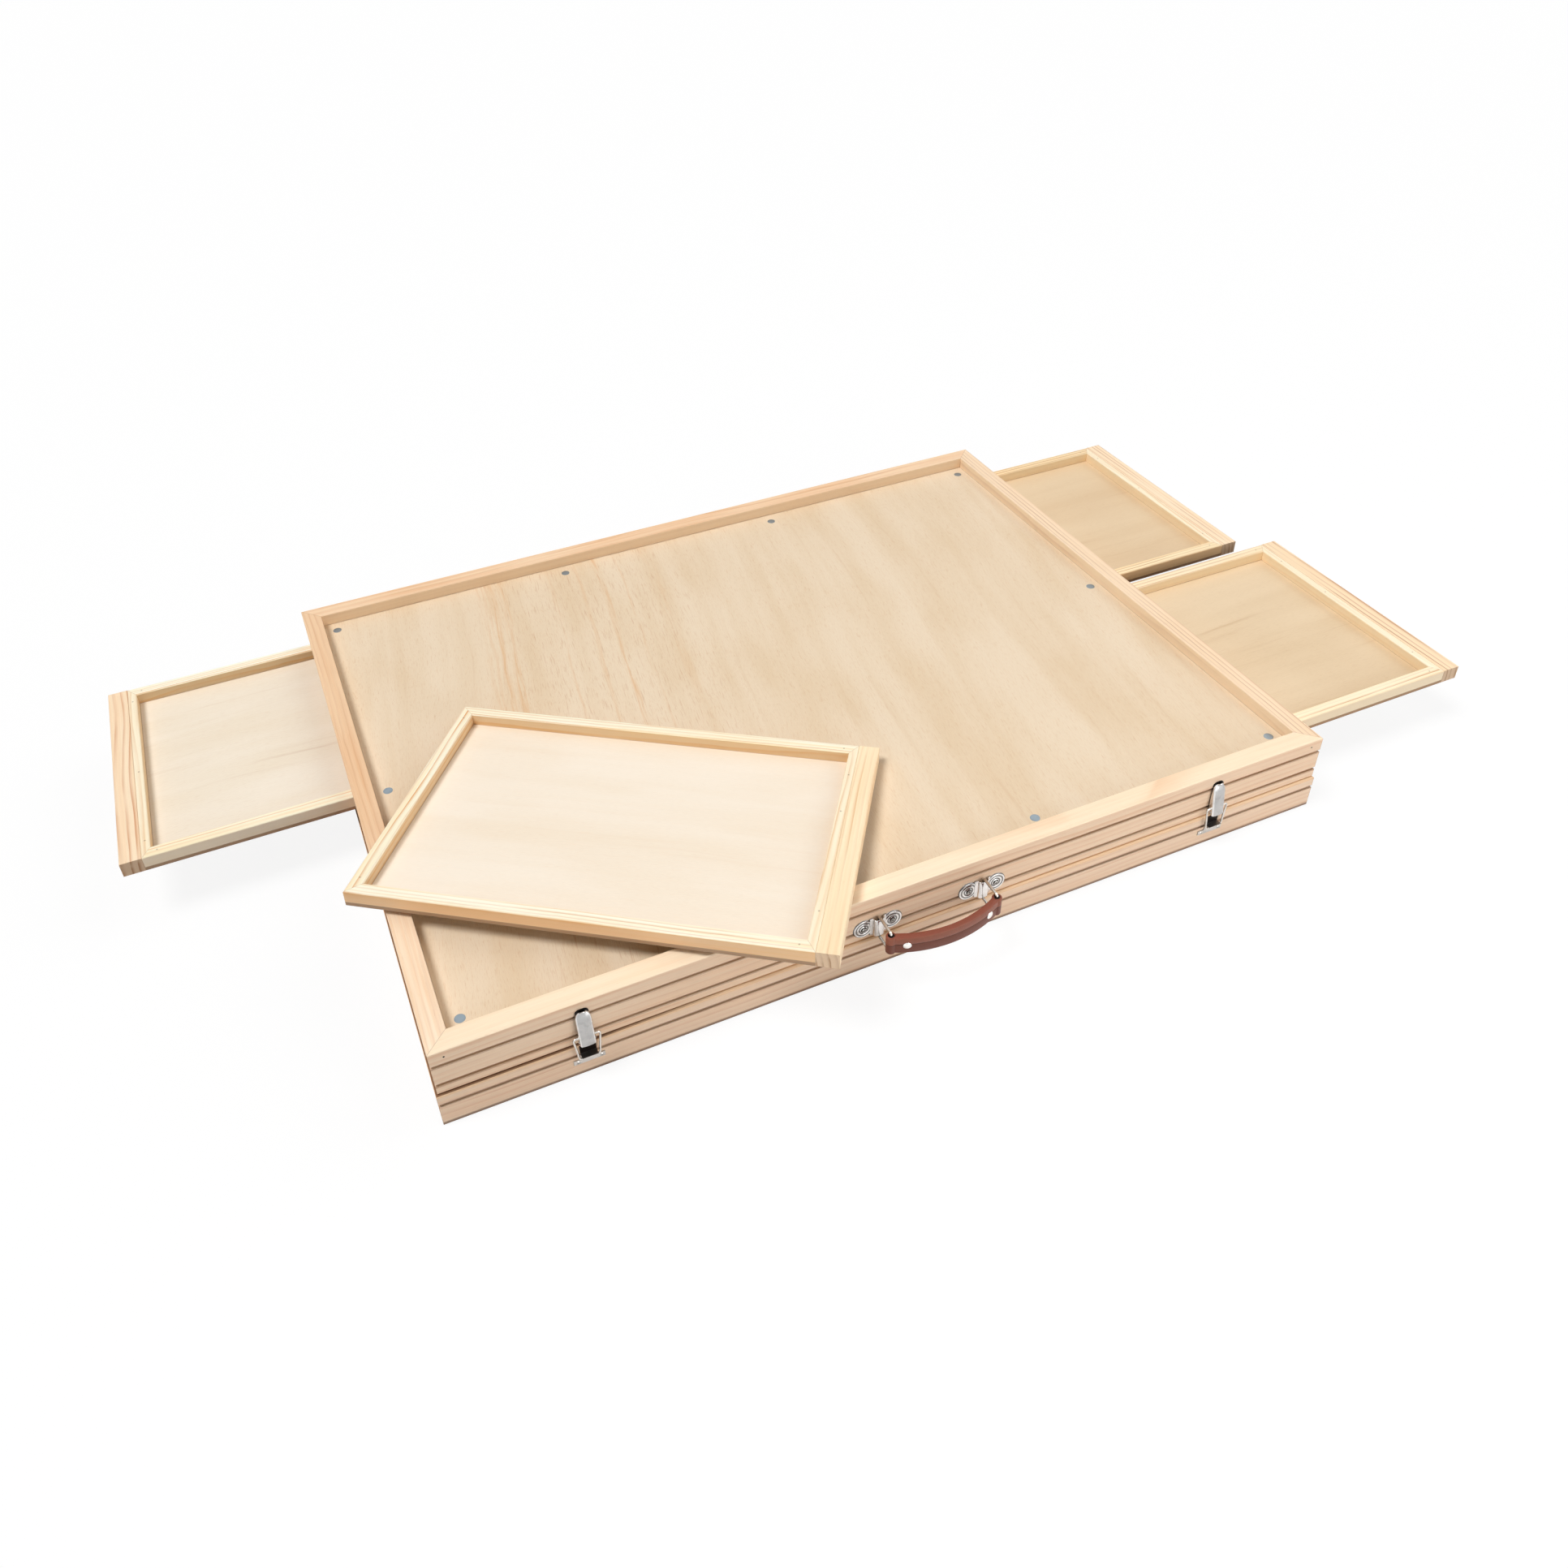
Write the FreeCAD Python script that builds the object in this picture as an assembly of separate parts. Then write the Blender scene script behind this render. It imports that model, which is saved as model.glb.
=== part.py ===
import FreeCAD, Part
import math
import os

# Jigsaw puzzle table with drawers: a case with a sunken work surface and four
# shallow drawers, hinged at the back to a storage tray that it stands on.
# Millimetres. X runs left to right, Y from the front to the back, Z up, and the
# origin is the middle of the tray's underside.

V = FreeCAD.Vector

# ---- case ----
case_length = 800.0
case_width = 609.0
case_height = 79.0
board_thick = 18.0            # the boards round both halves, and so the rails' width
parting_height = 34.0         # underside of the upper half
parting_gap = 0.3             # between the closed halves
lower_proud = 1.5             # the lower half stands out this much at the front and ends
top_ease = 0.7                # eased edge round the outside of the rails' tops
inner_ease = 0.5              # and round their inner edges
base_ease = 0.5
parting_ease = 1.0            # eased edges beside the parting line
groove_width = 2.6            # shadow grooves round the outside
groove_depth = 1.6
top_groove_drop = 14.7        # from the rails' tops to the upper groove
case_groove_rise = 10.0       # from the parting line up to the next groove
tray_groove_drop = 11.5       # from the parting line down to the tray's groove
tray_panel_thick = 4.0
brad_radius = 0.8
brad_length = 14.0
brad_inset = 11.2             # from the case's end to the corner brads
brad_drop = 6.9               # from the rails' tops to the corner brads

# ---- work surface ----
surface_drop = 12.0           # from the rails' tops down to the work surface
work_panel_thick = 3.0
disc_radius = 4.2
disc_thick = 1.6
disc_gap = 0.1
disc_inset_x = 29.7           # from the case's ends
disc_inset_y = 32.5           # from the case's front and back
discs_per_side = 4            # evenly along each long side

# ---- drawers and their bays ----
drawer_height = 14.0
drawer_side_gap = 0.5
drawer_head_gap = 0.5
drawer_slide_gap = 0.3
drawer_back_gap = 1.0
divider_width = 17.0
guide_width = 21.5            # between a drawer and the long boards
stop_width = 18.0
shelf_thick = 4.0
face_thick = 18.0             # the drawer's outer end board, fills its window
end_strip_width = 8.0
side_rail_width = 12.0
back_rail_width = 12.0
drawer_panel_thick = 3.5
rail_ease = 0.6
left_back_out = 195.5         # how far each drawer stands out of the case
right_back_out = 169.0
right_front_out = 207.0

# ---- the drawer that is out of its bay, lying on the case ----
loose_yaw = -34.5             # degrees, of its length about the upright
loose_overhang = 27.0         # its near corner stands out past the case's left end
loose_from_front = 163.5      # and lies this far back from the case's front
loose_rest_gap = 0.3

# ---- screws ----
screw_shank_radius = 1.2
screw_length = 10.0
screw_head_radius = 2.6
screw_head_height = 1.2
screw_recess = 0.6
small_head_radius = 1.7
small_head_height = 0.8

# ---- toggle latches ----
latch_inset = 112.5           # from the case's ends
latch_pivot_out = 4.2         # lever pivot, from the case's front
latch_pivot_rise = 6.5        # lever pivot, above the parting line
loop_pivot_out = 0.7          # loop pivot, from the lever pivot
loop_pivot_rise = 5.5
latch_sheet = 1.0             # thickness of the latch's sheet metal
lever_width = 12.4
lever_inside = 3.4            # from the lever pivot to the lever's inner face
lever_below = 1.9             # the lever reaches this far below its pivot
lever_straight = 20.0         # from the pivot up to where the lever bows in
lever_lean = 3.4              # the bow's start is this much nearer to the case than the foot
bow_rise = 8.4                # from there up to the finger tab
bow_in = 2.1
tab_rise = 2.4
tab_out = 1.7
cheek_gap = 0.6               # the lever's cheeks, to the base plate
ear_half = 1.9                # the base plate's ears round the pivot
ear_gap = 0.2
base_length = 33.0
pin_radius = 1.0
pin_proud = 0.4
pivot_gap = 0.05
loop_wire_radius = 0.9
loop_bend = 1.8
loop_top_half = 10.5          # half the loop's width at its pivots
loop_foot_half = 8.0          # half the loop's width at the hook
loop_bar_out = 3.1            # the loop's bar, from the catch plate's face
hook_drop = 9.8               # from the parting line to the hook's underside
hook_gap = 0.3
hook_lip_gap = 0.7
hook_lip_drop = 0.3
hook_lip_thick = 0.6
catch_half = 6.4
catch_top_drop = 1.2          # from the parting line to the catch plate
catch_length = 19.2
catch_foot_half = 12.4
catch_foot_height = 4.5

# ---- carrying handle ----
handle_x = 5.0                # the handle's middle, right of the case's middle
handle_z = 47.0
bracket_spacing = 96.0
lobe_radius = 9.2
lobe_spacing = 25.6
bracket_thick = 1.2
saddle_radius = 5.0           # the raised saddle that holds the ring
ring_axis_out = 2.3
ring_wire_radius = 1.25
ring_height = 21.5            # between the centres of the ring's arms
ring_reach = 20.0
ring_bend = 1.7               # saddle and strap reach as far as the ring's bends
ring_gap = 0.1
strap_thick = 6.0
strap_bow = 11.5
strap_end_radius = 4.2
rivet_spacing = 73.0
rivet_shank_radius = 1.5
rivet_head_radius = 3.4
rivet_head_height = 1.2

# ---- butt hinges at the back ----
hinge_inset = 150.0           # from the case's ends
hinge_width = 50.0
hinge_height = 18.0
hinge_leaf_thick = 1.5
knuckle_radius = 3.0
knuckle_gap = 0.3
hinge_pin_radius = 1.5
hinge_head_radius = 2.3
hinge_screw_spacing = 17.0

# ---- levels and half sizes that follow ----
half_length = case_length / 2
half_width = case_width / 2
inner_x = half_length - board_thick
inner_y = half_width - board_thick
front_y = -half_width
tray_front_y = front_y - lower_proud
tray_end_x = half_length + lower_proud
tray_top = parting_height - parting_gap
surface_z = case_height - surface_drop
bay_top = surface_z - work_panel_thick
drawer_z = bay_top - drawer_head_gap - drawer_height
shelf_top = drawer_z - drawer_slide_gap
bay_inner_y = divider_width / 2
bay_outer_y = inner_y - guide_width
bay_middle_y = (bay_inner_y + bay_outer_y) / 2
drawer_width = bay_outer_y - bay_inner_y - 2 * drawer_side_gap
drawer_length = half_length - stop_width / 2 - drawer_back_gap
latch_x = half_length - latch_inset
hinge_x = half_length - hinge_inset

nodes = {}


# ---- helpers ----
def block(x0, y0, z0, x1, y1, z1):
    return Part.makeBox(x1 - x0, y1 - y0, z1 - z0, V(x0, y0, z0))


def rod(radius, start, end):
    axis = end - start
    return Part.makeCylinder(radius, axis.Length, start, axis)


def prism(points, way):
    """A straight prism: a closed outline pushed along a vector."""
    return Part.Face(Part.makePolygon(points + points[:1])).extrude(way)


def eased_bar(x0, y0, z0, x1, y1, z1, ease, along_x):
    """A rail whose two long top edges are eased."""
    if along_x:
        outline = [V(x0, y0, z0), V(x0, y1, z0), V(x0, y1, z1 - ease), V(x0, y1 - ease, z1),
                   V(x0, y0 + ease, z1), V(x0, y0, z1 - ease)]
        return prism(outline, V(x1 - x0, 0, 0))
    outline = [V(x0, y0, z0), V(x1, y0, z0), V(x1, y0, z1 - ease), V(x1 - ease, y0, z1),
               V(x0 + ease, y0, z1), V(x0, y0, z1 - ease)]
    return prism(outline, V(0, y1 - y0, 0))


def bent_wire(points, bend, radius, closed=False):
    """Round wire along straight runs joined by tangent bends."""
    count = len(points)
    start = (points[0] + points[-1]) * 0.5 if closed else points[0]
    corners = range(count) if closed else range(1, count - 1)
    edges, here = [], start
    for i in corners:
        corner, after = points[i], points[(i + 1) % count]
        back = (here - corner).normalize()
        ahead = (after - corner).normalize()
        half = back.getAngle(ahead) / 2
        reach = bend / math.tan(half)
        enter, leave = corner + back * reach, corner + ahead * reach
        middle = (back + ahead).normalize()
        crown = corner + middle * (bend / math.sin(half) - bend)
        edges += [Part.makeLine(here, enter), Part.Arc(enter, crown, leave).toShape()]
        here = leave
    edges.append(Part.makeLine(here, start if closed else points[-1]))
    path = Part.Wire(edges)
    way = edges[0].tangentAt(edges[0].FirstParameter)
    ring = Part.Wire([Part.makeCircle(radius, start, way)])
    return path.makePipeShell([ring], True, False)


def dome(radius, height, centre, way):
    """A low round head, its flat side at the centre given."""
    ball = (radius ** 2 + height ** 2) / (2 * height)
    cap = Part.makeSphere(ball, V(0, 0, height - ball))
    cap = cap.common(Part.makeCylinder(radius, height))
    cap.Placement = FreeCAD.Placement(centre, FreeCAD.Rotation(V(0, 0, 1), way))
    return cap


def screw(seat, way, head_radius=screw_head_radius, head_height=screw_head_height):
    """A pan-head wood screw with a cross recess, its head on the seat given."""
    head = dome(head_radius, head_height, seat, way)
    turn = FreeCAD.Rotation(V(0, 0, 1), way)
    slot_half, slot_wide = head_radius * 0.55, head_radius * 0.13
    top = seat + way * head_height
    for a, b in ((slot_half, slot_wide), (slot_wide, slot_half)):
        slot = block(-a, -b, -screw_recess, a, b, screw_recess)
        slot.Placement = FreeCAD.Placement(top, turn)
        head = head.cut(slot)
    return head.fuse(rod(screw_shank_radius, seat, seat - way * screw_length))


def screw_hole(seat, way):
    return rod(screw_shank_radius, seat + way, seat - way * screw_length)


def cut_all(solid, cutters):
    for cutter in cutters:
        solid = solid.cut(cutter)
    return solid


# ---- boards of the two halves ----
def board_profile(thick, z0, z1, low_ease, high_ease, grooves):
    """A board's cross-section as (out, height), out from its inner face."""
    outline = [(0, z0), (thick - low_ease, z0), (thick, z0 + low_ease)]
    for z in sorted(grooves):
        low, high = z - groove_width / 2, z + groove_width / 2
        floor = thick - groove_depth
        outline += [(thick, low), (floor, low), (floor, high), (thick, high)]
    outline += [(thick, z1 - high_ease), (thick - high_ease, z1), (inner_ease, z1),
                (0, z1 - inner_ease)]
    return outline


def mitred_boards(end_x, y_front, y_back, z0, z1, low_ease, high_ease, grooves):
    """Front, back, left and right boards, mitred at the corners."""
    boards = {}
    for side, x_out, y_out in (("front", 0, -1), ("back", 0, 1), ("left", -1, 0), ("right", 1, 0)):
        if y_out:
            y_face = y_front if y_out < 0 else y_back
            thick = abs(y_face) - inner_y
            plan = [V(-end_x, y_face, z0), V(end_x, y_face, z0),
                    V(inner_x, y_out * inner_y, z0), V(-inner_x, y_out * inner_y, z0)]
            start, way = -end_x, V(2 * end_x, 0, 0)
        else:
            thick = end_x - inner_x
            plan = [V(x_out * end_x, y_front, z0), V(x_out * end_x, y_back, z0),
                    V(x_out * inner_x, inner_y, z0), V(x_out * inner_x, -inner_y, z0)]
            start, way = y_front, V(0, y_back - y_front, 0)
        profile = board_profile(thick, z0, z1, low_ease, high_ease, grooves)
        points = [V(start, y_out * (inner_y + out), z) if y_out else V(x_out * (inner_x + out), start, z)
                  for out, z in profile]
        boards[side] = prism(points, way).common(prism(plan, V(0, 0, z1 - z0)))
    return boards


def bay_windows():
    """The four drawer windows through the end boards."""
    windows = []
    for side in (-1, 1):
        for row in (-1, 1):
            x0, x1 = sorted((side * (inner_x - 1), side * (half_length + 1)))
            y0, y1 = sorted((row * bay_inner_y, row * bay_outer_y))
            windows.append(block(x0, y0, shelf_top, x1, y1, bay_top))
    return windows


def corner_brads():
    brads = []
    for x in (-half_length + brad_inset, half_length - brad_inset):
        for side in (-1, 1):
            z = case_height - brad_drop
            brads.append(rod(brad_radius, V(x, side * half_width, z),
                             V(x, side * (half_width - brad_length), z)))
    return brads


# ---- fastener places ----
def lobe_seats():
    """Where the handle brackets' screws sit, as place and outward direction."""
    out = V(0, -1, 0)
    seats = []
    for side in (-1, 1):
        for lobe in (-1, 1):
            x = handle_x + side * bracket_spacing / 2 + lobe * lobe_spacing / 2
            seats.append((V(x, front_y - bracket_thick, handle_z), out))
    return seats


def latch_seats():
    out = V(0, -1, 0)
    z_foot = parting_height + latch_pivot_rise - ear_half
    return [(V(side * latch_x, front_y - latch_sheet, z_foot + base_length * share), out)
            for side in (-1, 1) for share in (0.45, 0.8)]


def catch_seats():
    out = V(0, -1, 0)
    z = parting_height - catch_top_drop - catch_length + catch_foot_height / 2
    x_foot = (catch_half + catch_foot_half) / 2
    return [(V(side * latch_x + foot * x_foot, tray_front_y - latch_sheet, z), out)
            for side in (-1, 1) for foot in (-1, 1)]


def hinge_seats(up):
    out = V(0, 1, 0)
    z = hinge_axis_z() + up * (knuckle_radius + hinge_height) / 2
    return [(V(side * hinge_x + i * hinge_screw_spacing, half_width + hinge_leaf_thick, z), out)
            for side in (-1, 1) for i in (-1, 0, 1)]


def hinge_axis_z():
    return parting_height - parting_gap / 2


# ---- lower half ----
def lower_half():
    holes = [screw_hole(seat, way) for seat, way in catch_seats() + hinge_seats(-1)]
    boards = mitred_boards(tray_end_x, tray_front_y, half_width, 0, tray_top, base_ease, parting_ease,
                           [parting_height - tray_groove_drop])
    for side, board in boards.items():
        nodes["lower_%s_board" % side] = cut_all(board, holes)
    nodes["lower_bottom_panel"] = block(-inner_x, -inner_y, 0, inner_x, inner_y, tray_panel_thick)


# ---- upper half ----
def upper_half():
    brads = corner_brads()
    holes = [screw_hole(seat, way) for seat, way in lobe_seats() + latch_seats() + hinge_seats(1)]
    boards = mitred_boards(half_length, front_y, half_width, parting_height, case_height,
                           parting_ease, top_ease,
                           [case_height - top_groove_drop, parting_height + case_groove_rise])
    windows = bay_windows()
    for side, name in (("front", "upper_front_board"), ("back", "upper_back_board"),
                       ("left", "upper_left_end"), ("right", "upper_right_end")):
        cutters = brads + (windows if side in ("left", "right") else holes)
        nodes[name] = cut_all(boards[side], cutters)
    nodes["corner_brads"] = Part.makeCompound(brads)

    nodes["drawer_shelf"] = block(-inner_x, -inner_y, shelf_top - shelf_thick,
                                  inner_x, inner_y, shelf_top)
    nodes["centre_divider"] = block(-inner_x, -bay_inner_y, shelf_top, inner_x, bay_inner_y, bay_top)
    nodes["front_drawer_guide"] = block(-inner_x, -inner_y, shelf_top, inner_x, -bay_outer_y, bay_top)
    nodes["back_drawer_guide"] = block(-inner_x, bay_outer_y, shelf_top, inner_x, inner_y, bay_top)
    nodes["drawer_stops"] = Part.makeCompound(
        [block(-stop_width / 2, row[0], shelf_top, stop_width / 2, row[1], bay_top)
         for row in ((-bay_outer_y, -bay_inner_y), (bay_inner_y, bay_outer_y))])


def disc_places():
    x_end, y_side = half_length - disc_inset_x, half_width - disc_inset_y
    step = 2 * x_end / (discs_per_side - 1)
    long_sides = [(-x_end + i * step, y) for y in (-y_side, y_side) for i in range(discs_per_side)]
    return long_sides + [(-x_end, 0), (x_end, 0)]


def work_surface():
    panel = block(-inner_x, -inner_y, bay_top, inner_x, inner_y, surface_z)
    discs = []
    for x, y in disc_places():
        foot, top = V(x, y, surface_z - disc_thick), V(x, y, surface_z)
        panel = panel.cut(rod(disc_radius + disc_gap, foot, top + V(0, 0, 1)))
        discs.append(rod(disc_radius, foot, top))
    nodes["work_panel"] = panel
    nodes["steel_discs"] = Part.makeCompound(discs)


# ---- drawers ----
def drawer_pieces():
    """One drawer in its own place: length along X with its face at the far end,
    width about Y = 0, underside at Z = 0."""
    half = drawer_width / 2
    x_face = drawer_length - face_thick
    x_strip = x_face - end_strip_width
    z_rail = drawer_panel_thick
    y_in = half - side_rail_width
    up = V(0, 0, drawer_height - z_rail)

    def mitred(bar, outline):
        return bar.common(prism([V(x, y, z_rail) for x, y in outline], up))

    rails = [mitred(eased_bar(0, min(side * half, side * y_in), z_rail,
                              x_face, max(side * half, side * y_in), drawer_height, rail_ease, True),
                    [(0, side * half), (x_face, side * half),
                     (x_strip, side * y_in), (back_rail_width, side * y_in)])
             for side in (-1, 1)]
    end_strip = mitred(
        eased_bar(x_strip, -half, z_rail, x_face, half, drawer_height, rail_ease, False),
        [(x_face, -half), (x_face, half), (x_strip, y_in), (x_strip, -y_in)])
    back_rail = mitred(
        eased_bar(0, -half, z_rail, back_rail_width, half, drawer_height, rail_ease, False),
        [(0, -half), (0, half), (back_rail_width, y_in), (back_rail_width, -y_in)])
    return {
        "panel": block(0, -half, 0, x_face, half, z_rail),
        "face": eased_bar(x_face, -half, 0, drawer_length, half, drawer_height, rail_ease, False),
        "end_strip": end_strip,
        "side_rails": Part.makeCompound(rails),
        "back_rail": back_rail,
    }


def place_drawer(name, placement):
    for piece, solid in drawer_pieces().items():
        solid.Placement = placement
        nodes["%s_%s" % (name, piece)] = solid


def slid_out(side, row, out):
    """Placement of a drawer in its bay: side -1 left or 1 right, row -1 front or 1 back."""
    x_back = side * (half_length + out - drawer_length)
    turn = FreeCAD.Rotation(V(0, 0, 1), 0 if side > 0 else 180)
    return FreeCAD.Placement(V(x_back, row * bay_middle_y, drawer_z), turn)


def laid_on_case():
    """The loose drawer leans on the left and front rails, with one corner down on
    the work surface."""
    yaw = math.radians(loose_yaw)
    along, across = V(math.cos(yaw), math.sin(yaw), 0), V(-math.sin(yaw), math.cos(yaw), 0)
    near = V(-half_length - loose_overhang, front_y + loose_from_front, 0)
    far = near + along * drawer_length
    on_left_rail = near + across * ((-inner_x - near.x) / across.x)
    on_front_rail = far + across * ((-inner_y - far.y) / across.y)
    edge = on_front_rail - on_left_rail
    on_surface = max((near + across * drawer_width, far + across * drawer_width),
                     key=lambda corner: edge.cross(corner - on_left_rail).z)
    on_left_rail.z = on_front_rail.z = case_height + loose_rest_gap
    on_surface.z = surface_z + loose_rest_gap
    up = (on_front_rail - on_left_rail).cross(on_surface - on_left_rail).normalize()
    x_axis = along - up * along.dot(up)
    x_axis.normalize()
    y_axis = up.cross(x_axis)
    near.z = on_left_rail.z - up.dot(near - V(on_left_rail.x, on_left_rail.y, 0)) / up.z
    foot = near + y_axis * (drawer_width / 2)
    return FreeCAD.Placement(FreeCAD.Matrix(x_axis.x, y_axis.x, up.x, foot.x,
                                            x_axis.y, y_axis.y, up.y, foot.y,
                                            x_axis.z, y_axis.z, up.z, foot.z, 0, 0, 0, 1))


def drawers():
    place_drawer("left_back_drawer", slid_out(-1, 1, left_back_out))
    place_drawer("right_back_drawer", slid_out(1, 1, right_back_out))
    place_drawer("right_front_drawer", slid_out(1, -1, right_front_out))
    place_drawer("loose_drawer", laid_on_case())


# ---- toggle latches, worked out as (out from the case's front, height) ----
def latch(side, name):
    x_mid = side * latch_x
    pivot_z = parting_height + latch_pivot_rise
    loop_out, loop_z = latch_pivot_out + loop_pivot_out, pivot_z + loop_pivot_rise
    half = lever_width / 2

    def at(x, out, z):
        return V(x_mid + x, front_y - out, z)

    def sheet(outline, x0, x1):
        return prism([at(x0, out, z) for out, z in outline], V(x1 - x0, 0, 0))

    pivot_hole = rod(pin_radius + pivot_gap, at(-half - 2, latch_pivot_out, pivot_z),
                     at(half + 2, latch_pivot_out, pivot_z))

    # base plate with two ears inside the lever's cheeks
    ear_x = half - latch_sheet - ear_gap
    foot_z = pivot_z - ear_half
    base = sheet([(0, foot_z), (latch_sheet, foot_z), (latch_sheet, foot_z + base_length),
                  (0, foot_z + base_length)], -ear_x, ear_x)
    ear = [(0, foot_z), (latch_pivot_out + ear_half, foot_z),
           (latch_pivot_out + ear_half, pivot_z + ear_half), (latch_sheet, pivot_z + 2 * ear_half)]
    for x0 in (-ear_x, ear_x - latch_sheet):
        base = base.fuse(sheet(ear, x0, x0 + latch_sheet))
    holes = [screw_hole(seat, way) for seat, way in latch_seats()]
    nodes["latch_base_" + name] = cut_all(base.cut(pivot_hole), holes)

    # lever: a leaning channel that bows in towards the case, then a finger tab turned out
    low_z, bow_z = pivot_z - lever_below, pivot_z + lever_straight
    top_z = bow_z + bow_rise
    foot_in = latch_pivot_out + lever_inside
    bow_start, bow_end = foot_in - lever_lean, foot_in - lever_lean - bow_in
    line = [(foot_in, low_z), (bow_start, bow_z), (bow_start - 0.35 * bow_in, bow_z + 0.5 * bow_rise),
            (bow_end, top_z), (bow_end + tab_out, top_z + tab_rise)]
    front = line + [(out + latch_sheet, z) for out, z in reversed(line)]
    cheek = [(latch_pivot_out - ear_half, low_z), (foot_in, low_z), (bow_start, bow_z),
             (latch_sheet + cheek_gap, bow_z), (latch_sheet + cheek_gap, loop_z)]
    lever = sheet(front, -half, half)
    for x0 in (-half, half - latch_sheet):
        lever = lever.fuse(sheet(cheek, x0, x0 + latch_sheet))
    loop_hole = rod(loop_wire_radius + pivot_gap, at(-half - 1, loop_out, loop_z),
                    at(half + 1, loop_out, loop_z))
    nodes["latch_lever_" + name] = lever.cut(pivot_hole).cut(loop_hole)

    # wire loop, from one cheek down round the hook and up to the other cheek
    plate_out = lower_proud + latch_sheet
    bar_out = plate_out + loop_bar_out
    hook_z = parting_height - hook_drop
    bar_z = hook_z - hook_gap - loop_wire_radius
    stub = half - latch_sheet
    route = [at(stub, loop_out, loop_z), at(loop_top_half, loop_out, loop_z),
             at(loop_foot_half, bar_out, bar_z), at(-loop_foot_half, bar_out, bar_z),
             at(-loop_top_half, loop_out, loop_z), at(-stub, loop_out, loop_z)]
    nodes["latch_loop_" + name] = bent_wire(route, loop_bend, loop_wire_radius)

    # catch plate with its hook, on the lower half
    top_z = parting_height - catch_top_drop
    low_z = top_z - catch_length
    lip_in = bar_out + loop_wire_radius + hook_lip_gap
    lip_out, lip_z = lip_in + hook_lip_thick, hook_z - hook_lip_drop
    plate = sheet([(lower_proud, low_z), (plate_out, low_z), (plate_out, top_z), (lower_proud, top_z)],
                  -catch_half, catch_half)
    feet = sheet([(lower_proud, low_z), (plate_out, low_z), (plate_out, low_z + catch_foot_height),
                  (lower_proud, low_z + catch_foot_height)], -catch_foot_half, catch_foot_half)
    hook = sheet([(lower_proud, hook_z), (lip_in, hook_z), (lip_in, lip_z), (lip_out, lip_z),
                  (lip_out, hook_z + latch_sheet), (lower_proud, hook_z + latch_sheet)],
                 -catch_half, catch_half)
    nodes["catch_plate_" + name] = cut_all(plate.fuse([feet, hook]).removeSplitter(),
                                           [screw_hole(seat, way) for seat, way in catch_seats()])
    return rod(pin_radius, at(-half - pin_proud, latch_pivot_out, pivot_z),
               at(half + pin_proud, latch_pivot_out, pivot_z))


# ---- carrying handle ----
def handle():
    axis_y = front_y - ring_axis_out
    end_y = axis_y - ring_reach
    z0, z1 = handle_z - ring_height / 2, handle_z + ring_height / 2
    middles = [handle_x + side * bracket_spacing / 2 for side in (-1, 1)]
    for x, name in zip(middles, ("left", "right")):
        out = V(0, -1, 0)
        bore = rod(ring_wire_radius + ring_gap, V(x, axis_y, z0 - 1), V(x, axis_y, z1 + 1))
        saddle = rod(saddle_radius, V(x, front_y, z0 + ring_bend), V(x, front_y, z1 - ring_bend))
        saddle = saddle.common(block(x - saddle_radius, front_y - saddle_radius, z0,
                                     x + saddle_radius, front_y, z1))
        bracket = saddle
        for lobe in (-1, 1):
            seat = V(x + lobe * lobe_spacing / 2, front_y, handle_z)
            flat = Part.makeCylinder(lobe_radius, bracket_thick / 2, seat, out)
            slope = Part.makeCone(lobe_radius, lobe_radius - bracket_thick / 2, bracket_thick / 2,
                                  seat + out * (bracket_thick / 2), out)
            bracket = bracket.fuse(flat).fuse(slope)
        bracket = cut_all(bracket.cut(bore), [screw_hole(seat, way) for seat, way in lobe_seats()])
        nodes["handle_bracket_" + name] = bracket
        corners = [V(x, axis_y, z1), V(x, end_y, z1), V(x, end_y, z0), V(x, axis_y, z0)]
        nodes["handle_ring_" + name] = bent_wire(corners, ring_bend, ring_wire_radius, closed=True)

    half = bracket_spacing / 2
    arc_radius = (half ** 2 + strap_bow ** 2) / (2 * strap_bow)
    centre = V(handle_x, end_y - strap_bow + arc_radius, z0 + ring_bend)
    tall = V(0, 0, ring_height - 2 * ring_bend)
    band = rod(arc_radius + strap_thick / 2, centre, centre + tall)
    band = band.cut(rod(arc_radius - strap_thick / 2, centre, centre + tall))
    band = band.common(block(middles[0], end_y - 3 * strap_bow, z0, middles[1],
                             end_y + strap_thick / 2, z1))
    strap = band
    for x in middles:
        strap = strap.fuse(rod(strap_end_radius, V(x, end_y, centre.z), V(x, end_y, centre.z) + tall))
    for x in middles:
        strap = strap.cut(rod(ring_wire_radius + ring_gap, V(x, end_y, z0), V(x, end_y, z1)))

    rivets = []
    for side in (-1, 1):
        lean = side * math.asin(rivet_spacing / 2 / arc_radius)
        way = V(math.sin(lean), -math.cos(lean), 0)
        middle = V(centre.x, centre.y, handle_z) + way * arc_radius
        inner, outer = middle - way * (strap_thick / 2), middle + way * (strap_thick / 2)
        rivets.append(rod(rivet_shank_radius, inner, outer).fuse(
            [dome(rivet_head_radius, rivet_head_height, outer, way),
             dome(rivet_head_radius, rivet_head_height, inner, way * -1)]))
    nodes["handle_strap"] = cut_all(strap, rivets)
    nodes["strap_rivets"] = Part.makeCompound(rivets)


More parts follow.
